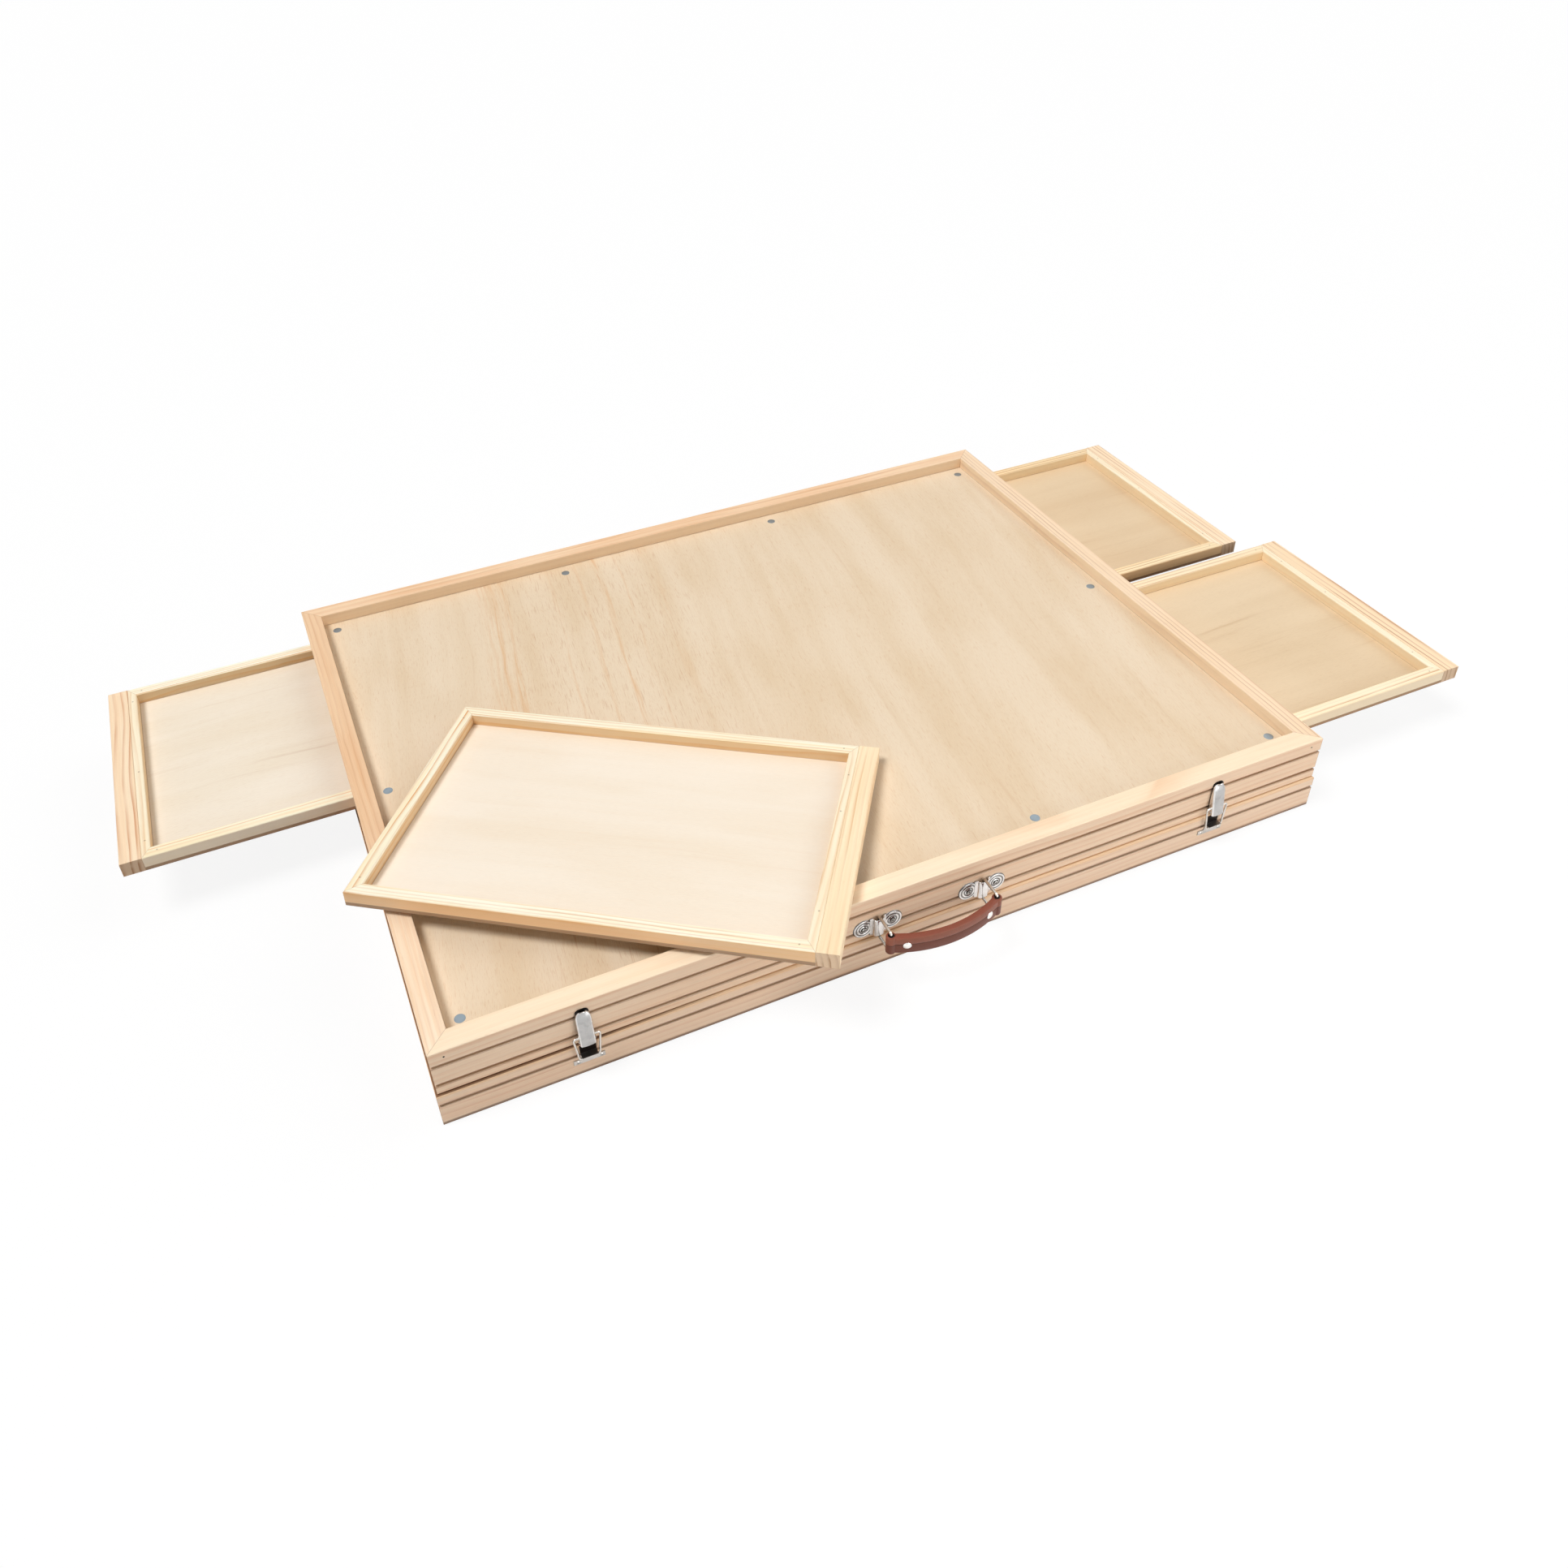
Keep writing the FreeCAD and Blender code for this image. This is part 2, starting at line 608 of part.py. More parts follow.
# ---- butt hinges ----
def hinges():
    axis_y, axis_z = half_width + knuckle_radius, hinge_axis_z()
    third = hinge_width / 3
    pins = []
    for side, name in ((-1, "left"), (1, "right")):
        x0 = side * hinge_x - hinge_width / 2
        for up, leaf_name, own in ((-1, "lower", (0, 2)), (1, "upper", (1,))):
            near = axis_z + up * (knuckle_radius + knuckle_gap)
            z_low, z_high = sorted((near, axis_z + up * hinge_height))
            leaf = block(x0, half_width, z_low, x0 + hinge_width, half_width + hinge_leaf_thick, z_high)
            for i in own:
                a = x0 + i * third + (knuckle_gap / 2 if i else 0)
                b = x0 + (i + 1) * third - (knuckle_gap / 2 if i < 2 else 0)
                w_low, w_high = sorted((near, axis_z + up * parting_gap))
                leaf = leaf.fuse(block(a, half_width, w_low, b, half_width + hinge_leaf_thick, w_high))
                leaf = leaf.fuse(rod(knuckle_radius, V(a, axis_y, axis_z), V(b, axis_y, axis_z)))
            bore = rod(hinge_pin_radius + pivot_gap, V(x0 - 1, axis_y, axis_z),
                       V(x0 + hinge_width + 1, axis_y, axis_z))
            holes = [screw_hole(seat, way) for seat, way in hinge_seats(up)]
            nodes["hinge_%s_leaf_%s" % (leaf_name, name)] = cut_all(leaf.cut(bore), holes)
        a, b = V(x0 - knuckle_gap, axis_y, axis_z), V(x0 + hinge_width + knuckle_gap, axis_y, axis_z)
        out = V(1, 0, 0)
        pins.append(rod(hinge_pin_radius, a, b).fuse(
            [dome(hinge_head_radius, 1.0, a, out * -1), dome(hinge_head_radius, 1.0, b, out)]))
    nodes["hinge_pins"] = Part.makeCompound(pins)


def fasteners():
    upper = [screw(seat, way) for seat, way in lobe_seats() + latch_seats() + hinge_seats(1)]
    lower = [screw(seat, way) for seat, way in hinge_seats(-1)]
    lower += [screw(seat, way, small_head_radius, small_head_height) for seat, way in catch_seats()]
    nodes["upper_screws"] = Part.makeCompound(upper)
    nodes["lower_screws"] = Part.makeCompound(lower)


lower_half()
upper_half()
work_surface()
drawers()
nodes["latch_pins"] = Part.makeCompound([latch(-1, "left"), latch(1, "right")])
handle()
hinges()
fasteners()

os.makedirs("parts", exist_ok=True)
for name, shape in nodes.items():
    if not shape.isValid():
        print("not valid:", name)
    shape.exportStep("parts/%s.step" % name)
print(len(nodes), "pieces")
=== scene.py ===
import math
import bmesh
import bpy
from mathutils import Matrix, Vector


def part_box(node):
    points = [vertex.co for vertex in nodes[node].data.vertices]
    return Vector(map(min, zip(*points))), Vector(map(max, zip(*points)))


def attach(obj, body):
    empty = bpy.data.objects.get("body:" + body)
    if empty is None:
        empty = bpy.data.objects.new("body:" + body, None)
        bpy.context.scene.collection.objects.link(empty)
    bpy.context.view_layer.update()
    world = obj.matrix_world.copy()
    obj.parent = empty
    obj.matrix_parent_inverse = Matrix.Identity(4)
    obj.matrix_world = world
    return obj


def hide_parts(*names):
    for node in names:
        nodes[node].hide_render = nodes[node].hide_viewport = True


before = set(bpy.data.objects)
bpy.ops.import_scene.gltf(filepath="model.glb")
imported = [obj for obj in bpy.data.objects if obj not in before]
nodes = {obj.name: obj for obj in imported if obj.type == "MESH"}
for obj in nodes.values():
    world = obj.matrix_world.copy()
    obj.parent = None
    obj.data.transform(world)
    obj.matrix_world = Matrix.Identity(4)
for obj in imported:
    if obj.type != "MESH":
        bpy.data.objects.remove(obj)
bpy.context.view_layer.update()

mm = 0.001
print("frame loaded:", len(nodes), "cad pieces")


def rgb(colour):  # everyday 0-255 colour to Blender's linear one
    parts = [c / 255 for c in colour]
    return tuple(c / 12.92 if c < 0.04 else ((c + 0.055) / 1.055) ** 2.4 for c in parts) + (1.0,)


class Wire:  # a socket that takes part in sums
    def __init__(self, paint, socket):
        self.paint = paint
        self.socket = socket

    def sum(self, operation, *others, flip=False):
        terms = (self,) + others
        terms = dict(enumerate(terms[::-1] if flip else terms))
        return self.paint.add("Math", {"operation": operation}, terms)

    def most(self, other):
        return self.sum("MAXIMUM", other)

    def least(self, other):
        return self.sum("MINIMUM", other)

    def root(self):
        return self.sum("SQRT")

    def split(self):  # a vector's three numbers
        parts = self.paint.add("SeparateXYZ", values={0: self}).socket.node.outputs
        return [Wire(self.paint, part) for part in parts]

    def __add__(self, other):
        return self.sum("ADD", other)

    def __sub__(self, other):
        return self.sum("SUBTRACT", other)

    def __rsub__(self, other):
        return self.sum("SUBTRACT", other, flip=True)

    def __mul__(self, other):
        return self.sum("MULTIPLY", other)

    def __truediv__(self, other):
        return self.sum("DIVIDE", other)

    def __abs__(self):
        return self.sum("ABSOLUTE")

    __radd__ = __add__
    __rmul__ = __mul__


class Paint:  # a material or world being mixed; its lengths are millimetres, its colours 0-255
    def __init__(self, owner):
        owner.use_nodes = True
        self.owner = owner
        self.tree = owner.node_tree
        self.tree.nodes.clear()

    def add(self, kind, settings=None, values=None, out=0):
        node = self.tree.nodes.new("ShaderNode" + kind)
        for key, setting in (settings or {}).items():
            if key == "stops":  # places and greys of a colour ramp
                ramp = node.color_ramp
                while len(ramp.elements) < len(setting):
                    ramp.elements.new(0.5)
                for element, (position, grey) in zip(ramp.elements, setting):
                    element.position = position
                    element.color = (grey,) * 3 + (1.0,)
            else:
                setattr(node, key, setting)
        for key, value in (values or {}).items():
            if isinstance(value, Wire):
                self.tree.links.new(value.socket, node.inputs[key])
            else:
                node.inputs[key].default_value = value
        return Wire(self, node.outputs[out]) if node.outputs else None

    def vectors(self, operation, first, second, out=0):
        return self.add("VectorMath", {"operation": operation}, {0: first, 1: second}, out)

    def scale(self, vector, factor):
        return self.add("VectorMath", {"operation": "SCALE"}, {0: vector, "Scale": factor})

    def dot(self, vector, axis):
        return self.vectors("DOT_PRODUCT", vector, axis, "Value")

    def distance(self, point, other):
        return self.vectors("DISTANCE", point, other, "Value")

    def here(self, start=(0, 0, 0)):  # the point on the piece, from a start
        point = self.scale(self.add("TexCoord", out="Object"), 1 / mm)
        return self.vectors("SUBTRACT", point, start)

    def faces(self, axis):  # 1 where the surface looks along the axis, 0 beside it, -1 against it
        return self.dot(self.add("TexCoord", out="Normal"), axis)

    def ray(self, kind):  # 1 for this kind of light ray
        return self.add("LightPath", out="Is " + kind + " Ray")

    def point(self, x, y, z):
        return self.add("CombineXYZ", values={0: x, 1: y, 2: z})

    def noise(self, point, scale=1.0, detail=2.0, rough=0.5):
        values = {"Vector": point, "Scale": scale, "Detail": detail, "Roughness": rough}
        return self.add("TexNoise", values=values)

    def rise(self, value, low, high):  # 0 below low, 1 above high, smooth between
        return self.add("MapRange", {"interpolation_type": "SMOOTHSTEP"},
                        {"Value": value, "From Min": low, "From Max": high})

    def band(self, value, middle, half, soft):  # 1 within half of the middle
        return 1 - self.rise(abs(value - middle), half, half + soft)

    def mix(self, factor, first, second, way="MIX"):
        first, second = (c if isinstance(c, Wire) else rgb(c) for c in (first, second))
        return self.add("Mix", {"data_type": "RGBA", "blend_type": way},
                        {0: factor, 6: first, 7: second}, out=2)

    def shade(self, colour, factor):  # a colour made lighter or darker
        return self.scale(colour if isinstance(colour, Wire) else rgb(colour)[:3], factor)

    def bump(self, height, distance, strength):
        values = {"Height": height, "Distance": distance * mm, "Strength": strength}
        return self.add("Bump", values=values)

    def finish(self, **sockets):
        names = {"colour": "Base Color", "rough": "Roughness", "metal": "Metallic",
                 "normal": "Normal", "specular": "Specular IOR Level"}
        shader = self.add("BsdfPrincipled", values={names[key]: sockets[key] for key in sockets})
        self.add("OutputMaterial", values={"Surface": shader})
        return self.owner


def startMaterial(name):
    return Paint(bpy.data.materials.new(name))


def wear(name, material):  # a cad piece takes a material
    for slot in nodes[name].material_slots:
        slot.material = material


def nodeMiddle(name):
    low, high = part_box(name)
    return (Vector(low) + Vector(high)) / 2 / mm


worldAxes = (Vector((1, 0, 0)), Vector((0, 1, 0)), Vector((0, 0, 1)))
grainAxes = {"x": worldAxes, "y": (worldAxes[1], worldAxes[0], worldAxes[2])}

# pine boards: rings round a heart outside the board, so faces, edges and ends agree
pineLook = {
    "cream": (250, 224, 190),
    "warm": (243, 200, 158),       # broad lengthwise streaks
    "late": (214, 158, 108),       # the hard line of each ring
    "end": (206, 174, 142),        # end grain
    "endLate": (172, 126, 90),
    "heart": (45, -70),            # across and up from the board's middle
    "spacing": 5.0,
    "uneven": 1.6,                 # how much the rings' spacing varies
    "wander": 16.8,                # how far a ring strays along the board
    "waver": 1.1,
    "crisp": 1.0,                  # above 1 the ring lines get thinner
    "lateDepth": 0.5,
    "warmDepth": 0.5,
    "fibreDepth": 0.09,
    "canalDepth": 0.35,            # short resin canals
    "endDepth": 0.85,
    "seed": 0.0,
    "rough": 0.55,
    "roughSpread": 0.16,
    "specular": 0.32,
    "relief": 0.05,
    "reliefStrength": 0.5,
}
pineSeedStep = 173                 # a seed moves the grain this far along
# how dark a year is from its start to its end, as places and greys
ringTone = ((0.0, 0.25), (0.1, 0.0), (0.5, 0.1), (0.84, 0.8), (0.93, 1.0), (1.0, 0.25))
# noises drawn out along the grain: their steps along and across it, detail and roughness
pineGrain = {
    "stray": (0.0045, 0.012, 1),
    "waver": (0.03, 0.09, 2),
    "fade": (0.008, 0.06, 2),
    "streak": (0.0035, 0.22, 3, 0.55),
    "broad": (0.006, 0.03, 2),
    "fibre": (0.035, 1.5, 4, 0.62),
    "fine": (0.12, 5.0, 2),
    "canal": (0.11, 2.6, 2),
}
# the range of a noise in which its marks fade in, and how much they count
pineRange = {"fade": (0.25, 0.6), "streak": (0.42, 0.68), "broad": (0.4, 0.65),
             "canal": (0.69, 0.77)}
pineShare = {"streak": 0.7, "broad": 0.45, "ringLeast": 0.3, "ringVaries": 0.75, "endRings": 1.5,
             "endFine": 0.4}
pineRelief = {"fibre": 0.6, "fine": 0.15, "late": -0.5}


def pine(name, axes, look, extra=None):
    look = {**pineLook, **look}
    paint = startMaterial(name)
    where = paint.here(nodeMiddle(name))
    l, a, h = (paint.dot(where, axis) for axis in axes)
    shifted = l + look["seed"] * pineSeedStep

    def grain(kind):
        alongStep, acrossStep, *detail = pineGrain[kind]
        point = paint.point(shifted * alongStep, a * acrossStep, h * acrossStep)
        return paint.noise(point, 1, *detail)

    def marks(kind):
        return paint.rise(grain(kind), *pineRange[kind])

    # ring distance from the heart, straying slowly along the board
    da, dh = a - look["heart"][0], h - look["heart"][1]
    reach = (da * da + dh * dh).root() + (grain("stray") - 0.5) * look["wander"]
    year = (reach + (grain("waver") - 0.5) * look["waver"]) / look["spacing"]
    uneven = paint.noise(paint.point(year * 0.31, look["seed"], 0.5), 1, 1) - 0.5
    year = year + uneven * look["uneven"]
    late = paint.add("ValToRGB", {"stops": ringTone}, {0: year.sum("FRACT")})
    strength = paint.add("TexWhiteNoise", {"noise_dimensions": "1D"},
                         {"W": year.sum("FLOOR") + look["seed"] * 7})
    strength = strength * pineShare["ringVaries"] + pineShare["ringLeast"]
    late = late.sum("POWER", look["crisp"]) * strength * marks("fade") * look["lateDepth"]
    # warm streaks, resin canals and fine fibres
    warm = marks("streak") * pineShare["streak"] + marks("broad") * pineShare["broad"]
    colour = paint.mix(warm * look["warmDepth"], look["cream"], look["warm"])
    colour = paint.mix(late, colour, look["late"])
    if "shift" in look:  # the tone changes along the board
        begins, ends, tint = look["shift"]
        colour = paint.mix(paint.rise(l, begins, ends), colour, tint, "MULTIPLY")
    colour = paint.mix(marks("canal") * look["canalDepth"], colour, look["late"])
    fibre, fine = grain("fibre"), grain("fine")
    colour = paint.shade(colour, ((fibre - 0.5) * 2 + (fine - 0.5)) * look["fibreDepth"] + 1)
    # sawn ends are greyer and darker
    sawn = paint.rise(abs(paint.faces(axes[0])), 0.75, 0.95)
    ends = paint.mix(late * pineShare["endRings"], look["end"], look["endLate"])
    ends = paint.shade(ends, 1 + (fine - 0.5) * pineShare["endFine"])
    colour = paint.mix(sawn * look["endDepth"], colour, ends)
    if extra:
        colour = extra(paint, colour)
    relief = fibre * pineRelief["fibre"] + fine * pineRelief["fine"] + late * pineRelief["late"]
    return paint.finish(colour=colour, rough=look["rough"] + (fibre - 0.5) * look["roughSpread"],
                        specular=look["specular"],
                        normal=paint.bump(relief, look["relief"], look["reliefStrength"]))


# case and tray: painted shade in the grooves, the parting line and along the lower edge, a painted
# highlight below the parting line, the outer faces painted a little shaded and the inner walls
# painted lighter, and the mitres of the outer faces
caseHalf = (400.0, 304.5)          # half width and half depth
caseBoardThick = 18.0
recessHalf = (382.0, 286.5)        # inside the rails
grooveFade = (-2.5, -1.8)          # marks on the outer faces begin this deep
partingFade = (-1.6, -0.7)
caseLook = {
    "outerTint": (254, 245, 243),  # painted shade: the upright outer faces a little darker and redder than the tops
    "wallTint": (255, 231, 198),   # and the inner walls are plainer and painted lighter, as if lit
    "wallDepth": 0.7,
    # painted shade in the grooves
    "groove": {"colour": (138, 98, 72), "depth": 0.46, "half": 1.45, "soft": 1.0},
    # painted highlight: the lit lip just below the parting line
    "glow": {"height": 33.35, "colour": (248, 198, 142), "depth": 0.5, "half": 1.3, "soft": 1.2},
    # painted shade in the gap between the two halves
    "parting": {"height": 33.85, "colour": (104, 60, 30), "depth": 0.9, "half": 0.55, "soft": 0.6,
                "fades": (-300, -120), "fade": 0.85},  # to the right, by this share
    # painted shade along the lower edge, where the case meets the floor
    "foot": {"top": 4.3, "soft": 2.4, "colour": (100, 70, 50), "depth": 0.75},
    "mitre": {"colour": (150, 104, 66), "depth": 0.45, "half": 0.1, "soft": 0.35},
}
# heights of the painted groove shade
grooveHeights = {"lower": [22.4], "upper": [63.7, 43.3]}


def caseLines(grooves):
    def extra(paint, colour):
        along, y, z = paint.here().split()
        x, y = abs(along), abs(y)
        outside = (x - caseHalf[0]).most(y - caseHalf[1])  # 0 on the outer faces, less inside
        upright = paint.rise(1 - abs(paint.faces(worldAxes[2])), 0.2, 0.7)
        shell = paint.rise(outside, *grooveFade)
        # painted shade on the upright outer faces
        colour = paint.mix(upright * shell, colour, caseLook["outerTint"], "MULTIPLY")
        # painted light: the inner walls made lighter and plainer
        wall = (1 - paint.rise(outside, 0.1 - caseBoardThick, 0.4 - caseBoardThick)) * upright
        colour = paint.mix(wall * caseLook["wallDepth"], colour, caseLook["wallTint"])

        def line(value, middle, look, where):
            mark = paint.band(value, middle, look["half"], look["soft"]) * where
            return paint.mix(mark * look["depth"], colour, look["colour"])

        # painted shade in each groove
        for height in grooves:
            colour = line(z, height, caseLook["groove"], shell)
        # painted highlight below the parting line
        colour = line(z, caseLook["glow"]["height"], caseLook["glow"], shell)
        # painted shade in the parting gap
        look = caseLook["parting"]
        fading = 1 - paint.rise(along, *look["fades"]) * look["fade"]
        colour = line(z, look["height"], look, paint.rise(outside, *partingFade) * fading)
        # painted shade along the lower edge
        look = caseLook["foot"]
        foot = (1 - paint.rise(z, look["top"] - look["soft"], look["top"])) * shell
        colour = paint.mix(foot * look["depth"], colour, look["colour"])
        return line(x - y, caseHalf[0] - caseHalf[1], caseLook["mitre"], 1)
    return extra


boards = {
    "upper_front_board": {"cream": (254, 232, 202), "warm": (250, 216, 180),
                          "late": (224, 164, 110), "heart": (-12, -135), "spacing": 6.4, "seed": 1},
    "upper_back_board": {"cream": (248, 216, 181), "warm": (238, 190, 146), "heart": (46, -50),
                         "spacing": 4.6, "lateDepth": 0.6, "warmDepth": 0.8, "seed": 2},
    "upper_left_end": {"run": "y", "cream": (254, 231, 203), "warm": (244, 206, 168),
                       "late": (210, 148, 104), "heart": (50, -42), "spacing": 4.4,
                       "lateDepth": 0.8, "crisp": 1.6, "warmDepth": 0.75, "wander": 9.6,
                       "shift": (-150, -40, (243, 228, 212)), "seed": 3},
    "upper_right_end": {"run": "y", "cream": (249, 222, 190), "warm": (238, 202, 162),
                        "late": (176, 120, 80), "heart": (-85, -6), "spacing": 4.9,
                        "lateDepth": 1.1, "crisp": 2.2, "warmDepth": 0.45, "wander": 6.24,
                        "seed": 4},
    "lower_front_board": {"cream": (253, 232, 204), "warm": (249, 217, 183),
                          "late": (216, 154, 102), "heart": (20, 110), "spacing": 5.6, "seed": 5},
    "lower_back_board": {"cream": (247, 215, 180), "heart": (-60, 50), "spacing": 5.5, "seed": 6},
    "lower_left_board": {"run": "y", "cream": (249, 219, 184), "heart": (20, -90), "seed": 7},
    "lower_right_board": {"run": "y", "cream": (247, 216, 180), "heart": (-15, -100),
                          "spacing": 5.8, "seed": 8},
}
for board, look in boards.items():
    lines = caseLines(grooveHeights[board.split("_")[0]])
    wear(board, pine(board, grainAxes[look.get("run", "x")], look, lines))
print("case and tray boards")

# inside woodwork, plainer
insideCream = (243, 214, 176)
insideWood = {"centre_divider": "x", "front_drawer_guide": "x", "back_drawer_guide": "x",
              "drawer_stops": "y"}
for n, (board, run) in enumerate(insideWood.items()):
    wear(board, pine(board, grainAxes[run], {"seed": 20 + n, "cream": insideCream}))

# drawers: cream mitred rails with a ringed face board, fixed with small nails
drawerLook = {
    "rail": {"cream": (255, 251, 230), "warm": (253, 226, 174), "late": (234, 170, 98),
             "heart": (34, -30), "spacing": 3.8, "lateDepth": 1.0, "crisp": 1.4, "warmDepth": 0.6,
             "wander": 7.2},
    "face": {"cream": (253, 230, 198), "warm": (249, 212, 172), "late": (206, 138, 90),
             "heart": (-75, -14), "end": (214, 182, 150), "spacing": 6.2, "lateDepth": 1.1,
             "crisp": 1.5, "warmDepth": 0.55, "wander": 12.0},
    "strip": {"cream": (255, 242, 214), "warm": (252, 225, 182), "late": (226, 174, 116),
              "heart": (60, -70), "spacing": 4.2, "lateDepth": 0.6},
    "front": (248, 218, 180),      # the face seen from the end, plainer
    "frontDepth": 0.6,
    "innerDepth": 0.7,
    "outerDepth": 0.75,
    "seamColour": (164, 112, 74),
    "mitreDepth": 0.35,
    "nailColour": (140, 102, 74),
    "nailDepth": 0.5,
    "nailRadius": (0.6, 1.0),      # full colour within the first, none beyond the second
    "seamHalf": 0.1,
    "seamSoft": 0.3,
}
# what differs: the rails' walls towards the panel and away from it, toned partly as wood and partly
# as painted light and shade, and the woods
drawerLooks = {
    "left_back_drawer": {"inner": (228, 190, 138), "outer": (254, 234, 208), "seam": 0.4,
                         "face": {"spacing": 7.0, "wander": 21.6}, "rail": {}},
    "right_back_drawer": {"inner": (254, 230, 190), "outer": (250, 208, 156), "seam": 0.6,
                          "face": {"late": (184, 124, 82), "crisp": 2.0, "lateDepth": 1.2,
                                   "spacing": 4.8},
                          "rail": {"cream": (250, 231, 192), "warm": (244, 206, 152),
                                   "late": (202, 140, 84)}},
    "right_front_drawer": {"inner": (254, 230, 190), "outer": (253, 232, 200), "seam": 0.6,
                           "face": {"late": (180, 120, 80), "crisp": 2.0, "lateDepth": 1.2,
                                    "spacing": 5.2, "cream": (251, 226, 190)},
                           "rail": {"cream": (253, 238, 206), "warm": (247, 213, 164),
                                    "late": (206, 146, 90)}},
    "loose_drawer": {"inner": (226, 182, 128), "outer": (246, 190, 130), "seam": 0.25,
                     "face": {"end": (232, 200, 168), "late": (226, 172, 118), "lateDepth": 0.8,
                              "crisp": 1.2, "spacing": 4.6, "cream": (255, 236, 200),
                              "warm": (250, 214, 168)},
                     "rail": {"late": (226, 160, 88), "lateDepth": 1.2}},
}
drawerLong, drawerHalf, drawerTop = 390.0, 127.75, 14.0
railWide, faceThick, stripWide = 12.0, 18.0, 8.0
faceLine = drawerLong - faceThick      # where the face board begins
stripLine = faceLine - stripWide       # and its inner strip

looseAxes = (Vector((0.8241, -0.5664, 0.0021)), Vector((0.5652, 0.8223, -0.0681)))
looseAxes = looseAxes + (looseAxes[0].cross(looseAxes[1]).normalized(),)
loosePlace = Vector((-427.0, -141.0, 84.715)) + looseAxes[1] * drawerHalf
turned = (-worldAxes[0], -worldAxes[1], worldAxes[2])
# where each drawer's own length starts (its back end, mid width, underside) and its axes
drawers = {
    "left_back_drawer": (Vector((-205.5, 136.75, 49.5)), turned),
    "right_back_drawer": (Vector((179.0, 136.75, 49.5)), worldAxes),
    "right_front_drawer": (Vector((217.0, -136.75, 49.5)), worldAxes),
    "loose_drawer": (loosePlace, looseAxes),
}


def offPanel(l, edge):  # below 0 on the panel, above 0 on the rails round it
    return (railWide - edge).most(l - stripLine).most(railWide - l)


def drawerMarks(start, axes, nails, tints):  # seams, nail heads, and walls inside and outside with painted light and shade
    def extra(paint, colour):
        where = paint.here(start)
        l, a, h = (paint.dot(where, axis) for axis in axes)
        edge = drawerHalf - abs(a)  # in from the frame's long sides
        below = 1 - paint.rise(h, drawerTop - 0.8, drawerTop - 0.3)
        behindFace = 1 - paint.rise(l, faceLine - 0.3, faceLine)
        # painted light and shade: walls towards the panel and away from it take tones set by how
        # the light falls on them
        inside = (1 - paint.rise(offPanel(l, edge), 0.25, 0.45)) * below
        colour = paint.mix(inside * drawerLook["innerDepth"], colour, tints["inner"])
        outside = (1 - paint.rise(edge.least(l), 0.15, 0.35)) * behindFace * below
        colour = paint.mix(outside * drawerLook["outerDepth"], colour, tints["outer"])
        front = paint.rise(l, drawerLong - 0.4, drawerLong - 0.2) * below
        colour = paint.mix(front * drawerLook["frontDepth"], colour, drawerLook["front"])

        def seam(distance):
            return paint.band(distance, 0, drawerLook["seamHalf"], drawerLook["seamSoft"])

        onRails = (1 - paint.rise(edge, railWide, railWide + 0.2)) * behindFace
        mitres = seam(edge - l) + seam(faceLine - l - edge * (stripWide / railWide))
        mitres = mitres * onRails * drawerLook["mitreDepth"]
        colour = paint.mix(seam(l - faceLine) * tints["seam"] + mitres, colour,
                           drawerLook["seamColour"])
        for nailX, nailY in nails:
            nail = axes[0] * nailX + axes[1] * nailY + axes[2] * drawerTop
            head = 1 - paint.rise(paint.distance(where, nail), *drawerLook["nailRadius"])
            colour = paint.mix(head * drawerLook["nailDepth"], colour, drawerLook["nailColour"])
        return colour
    return extra


for n, (drawer, (start, axes)) in enumerate(drawers.items()):
    crossways = (axes[1], axes[0], axes[2])
    looks = drawerLooks[drawer]
    stripMiddle = faceLine - stripWide / 2
    stripNails = [(stripMiddle, side * (drawerHalf - 22 - 7 * n)) for side in (-1, 1)]
    stripNails += [(stripMiddle, 8 + 9 * n)]
    backNails = [(railWide / 2, side * (drawerHalf - 18)) for side in (-1, 1)]
    railNails = [(stripMiddle - 9, side * (drawerHalf - railWide / 2)) for side in (-1, 1)]
    face, rail = ({**drawerLook[part], **looks[part]} for part in ("face", "rail"))
    parts = {
        "face": (crossways, face, 31, []),
        "end_strip": (crossways, drawerLook["strip"], 41, stripNails),
        "back_rail": (crossways, rail, 51, backNails),
        "side_rails": (axes, rail, 61, railNails),
    }
    for part, (grain, look, seed, nails) in parts.items():
        name = drawer + "_" + part
        marks = drawerMarks(start, axes, nails, looks)
        wear(name, pine(name, grain, {**look, "seed": seed + n}, marks))
print("drawer boards")

# thin plywood: peeled veneer with broad bands, short curved streaks and a layered edge
veneerLook = {
    "pale": (243, 224, 196),
    "sand": (236, 211, 178),
    "streak": (218, 172, 124),
    "edge": (214, 182, 142),
    "edgeDepth": 0.7,
    "ply": (186, 144, 104),        # the middle layer, seen at the edge
    "plyHalf": 0.55,
    "dirt": (112, 80, 56),         # painted shade on the lowest layer's edge
    "dirtDepth": 0.6,
    "bandWidth": 42.0,
    "streakDepth": 0.4,
    "fleckDepth": 0.42,
    "bend": 40,
    "ripple": 7,
    "seed": 0.0,
    "rough": 0.5,
    "roughSpread": 0.14,
    "specular": 0.32,
    "relief": 0.04,
    "reliefStrength": 0.4,
}
veneerSeedStep = 211
# noises drawn out along the grain: their steps along and across it, detail and roughness
veneerGrain = {
    "bend": (0.0024, 0.004, 1),
    "ripple": (0.014, 0.03, 2),
    "cloud": (0.006, 0.016, 2),
    "peel": (0.004, 0.13, 4, 0.62),
    "fleck": (0.07, 0.75, 3, 0.6),
    "dash": (0.15, 2.1, 2),
    "fine": (0.18, 3.2, 2),
}
# the range of a noise in which its marks fade in, and how much they count
veneerRange = {"wide": (0.35, 0.68), "cloud": (0.4, 0.66), "peel": (0.55, 0.76),
               "peelPatch": (0.4, 0.62), "fleck": (0.54, 0.72), "dash": (0.58, 0.72)}
veneerShare = {"wide": 0.6, "cloud": 0.5, "fleck": 0.55, "dash": 0.8}
veneerRelief = {"fleck": 0.5, "dash": 0.3, "fine": 0.3}


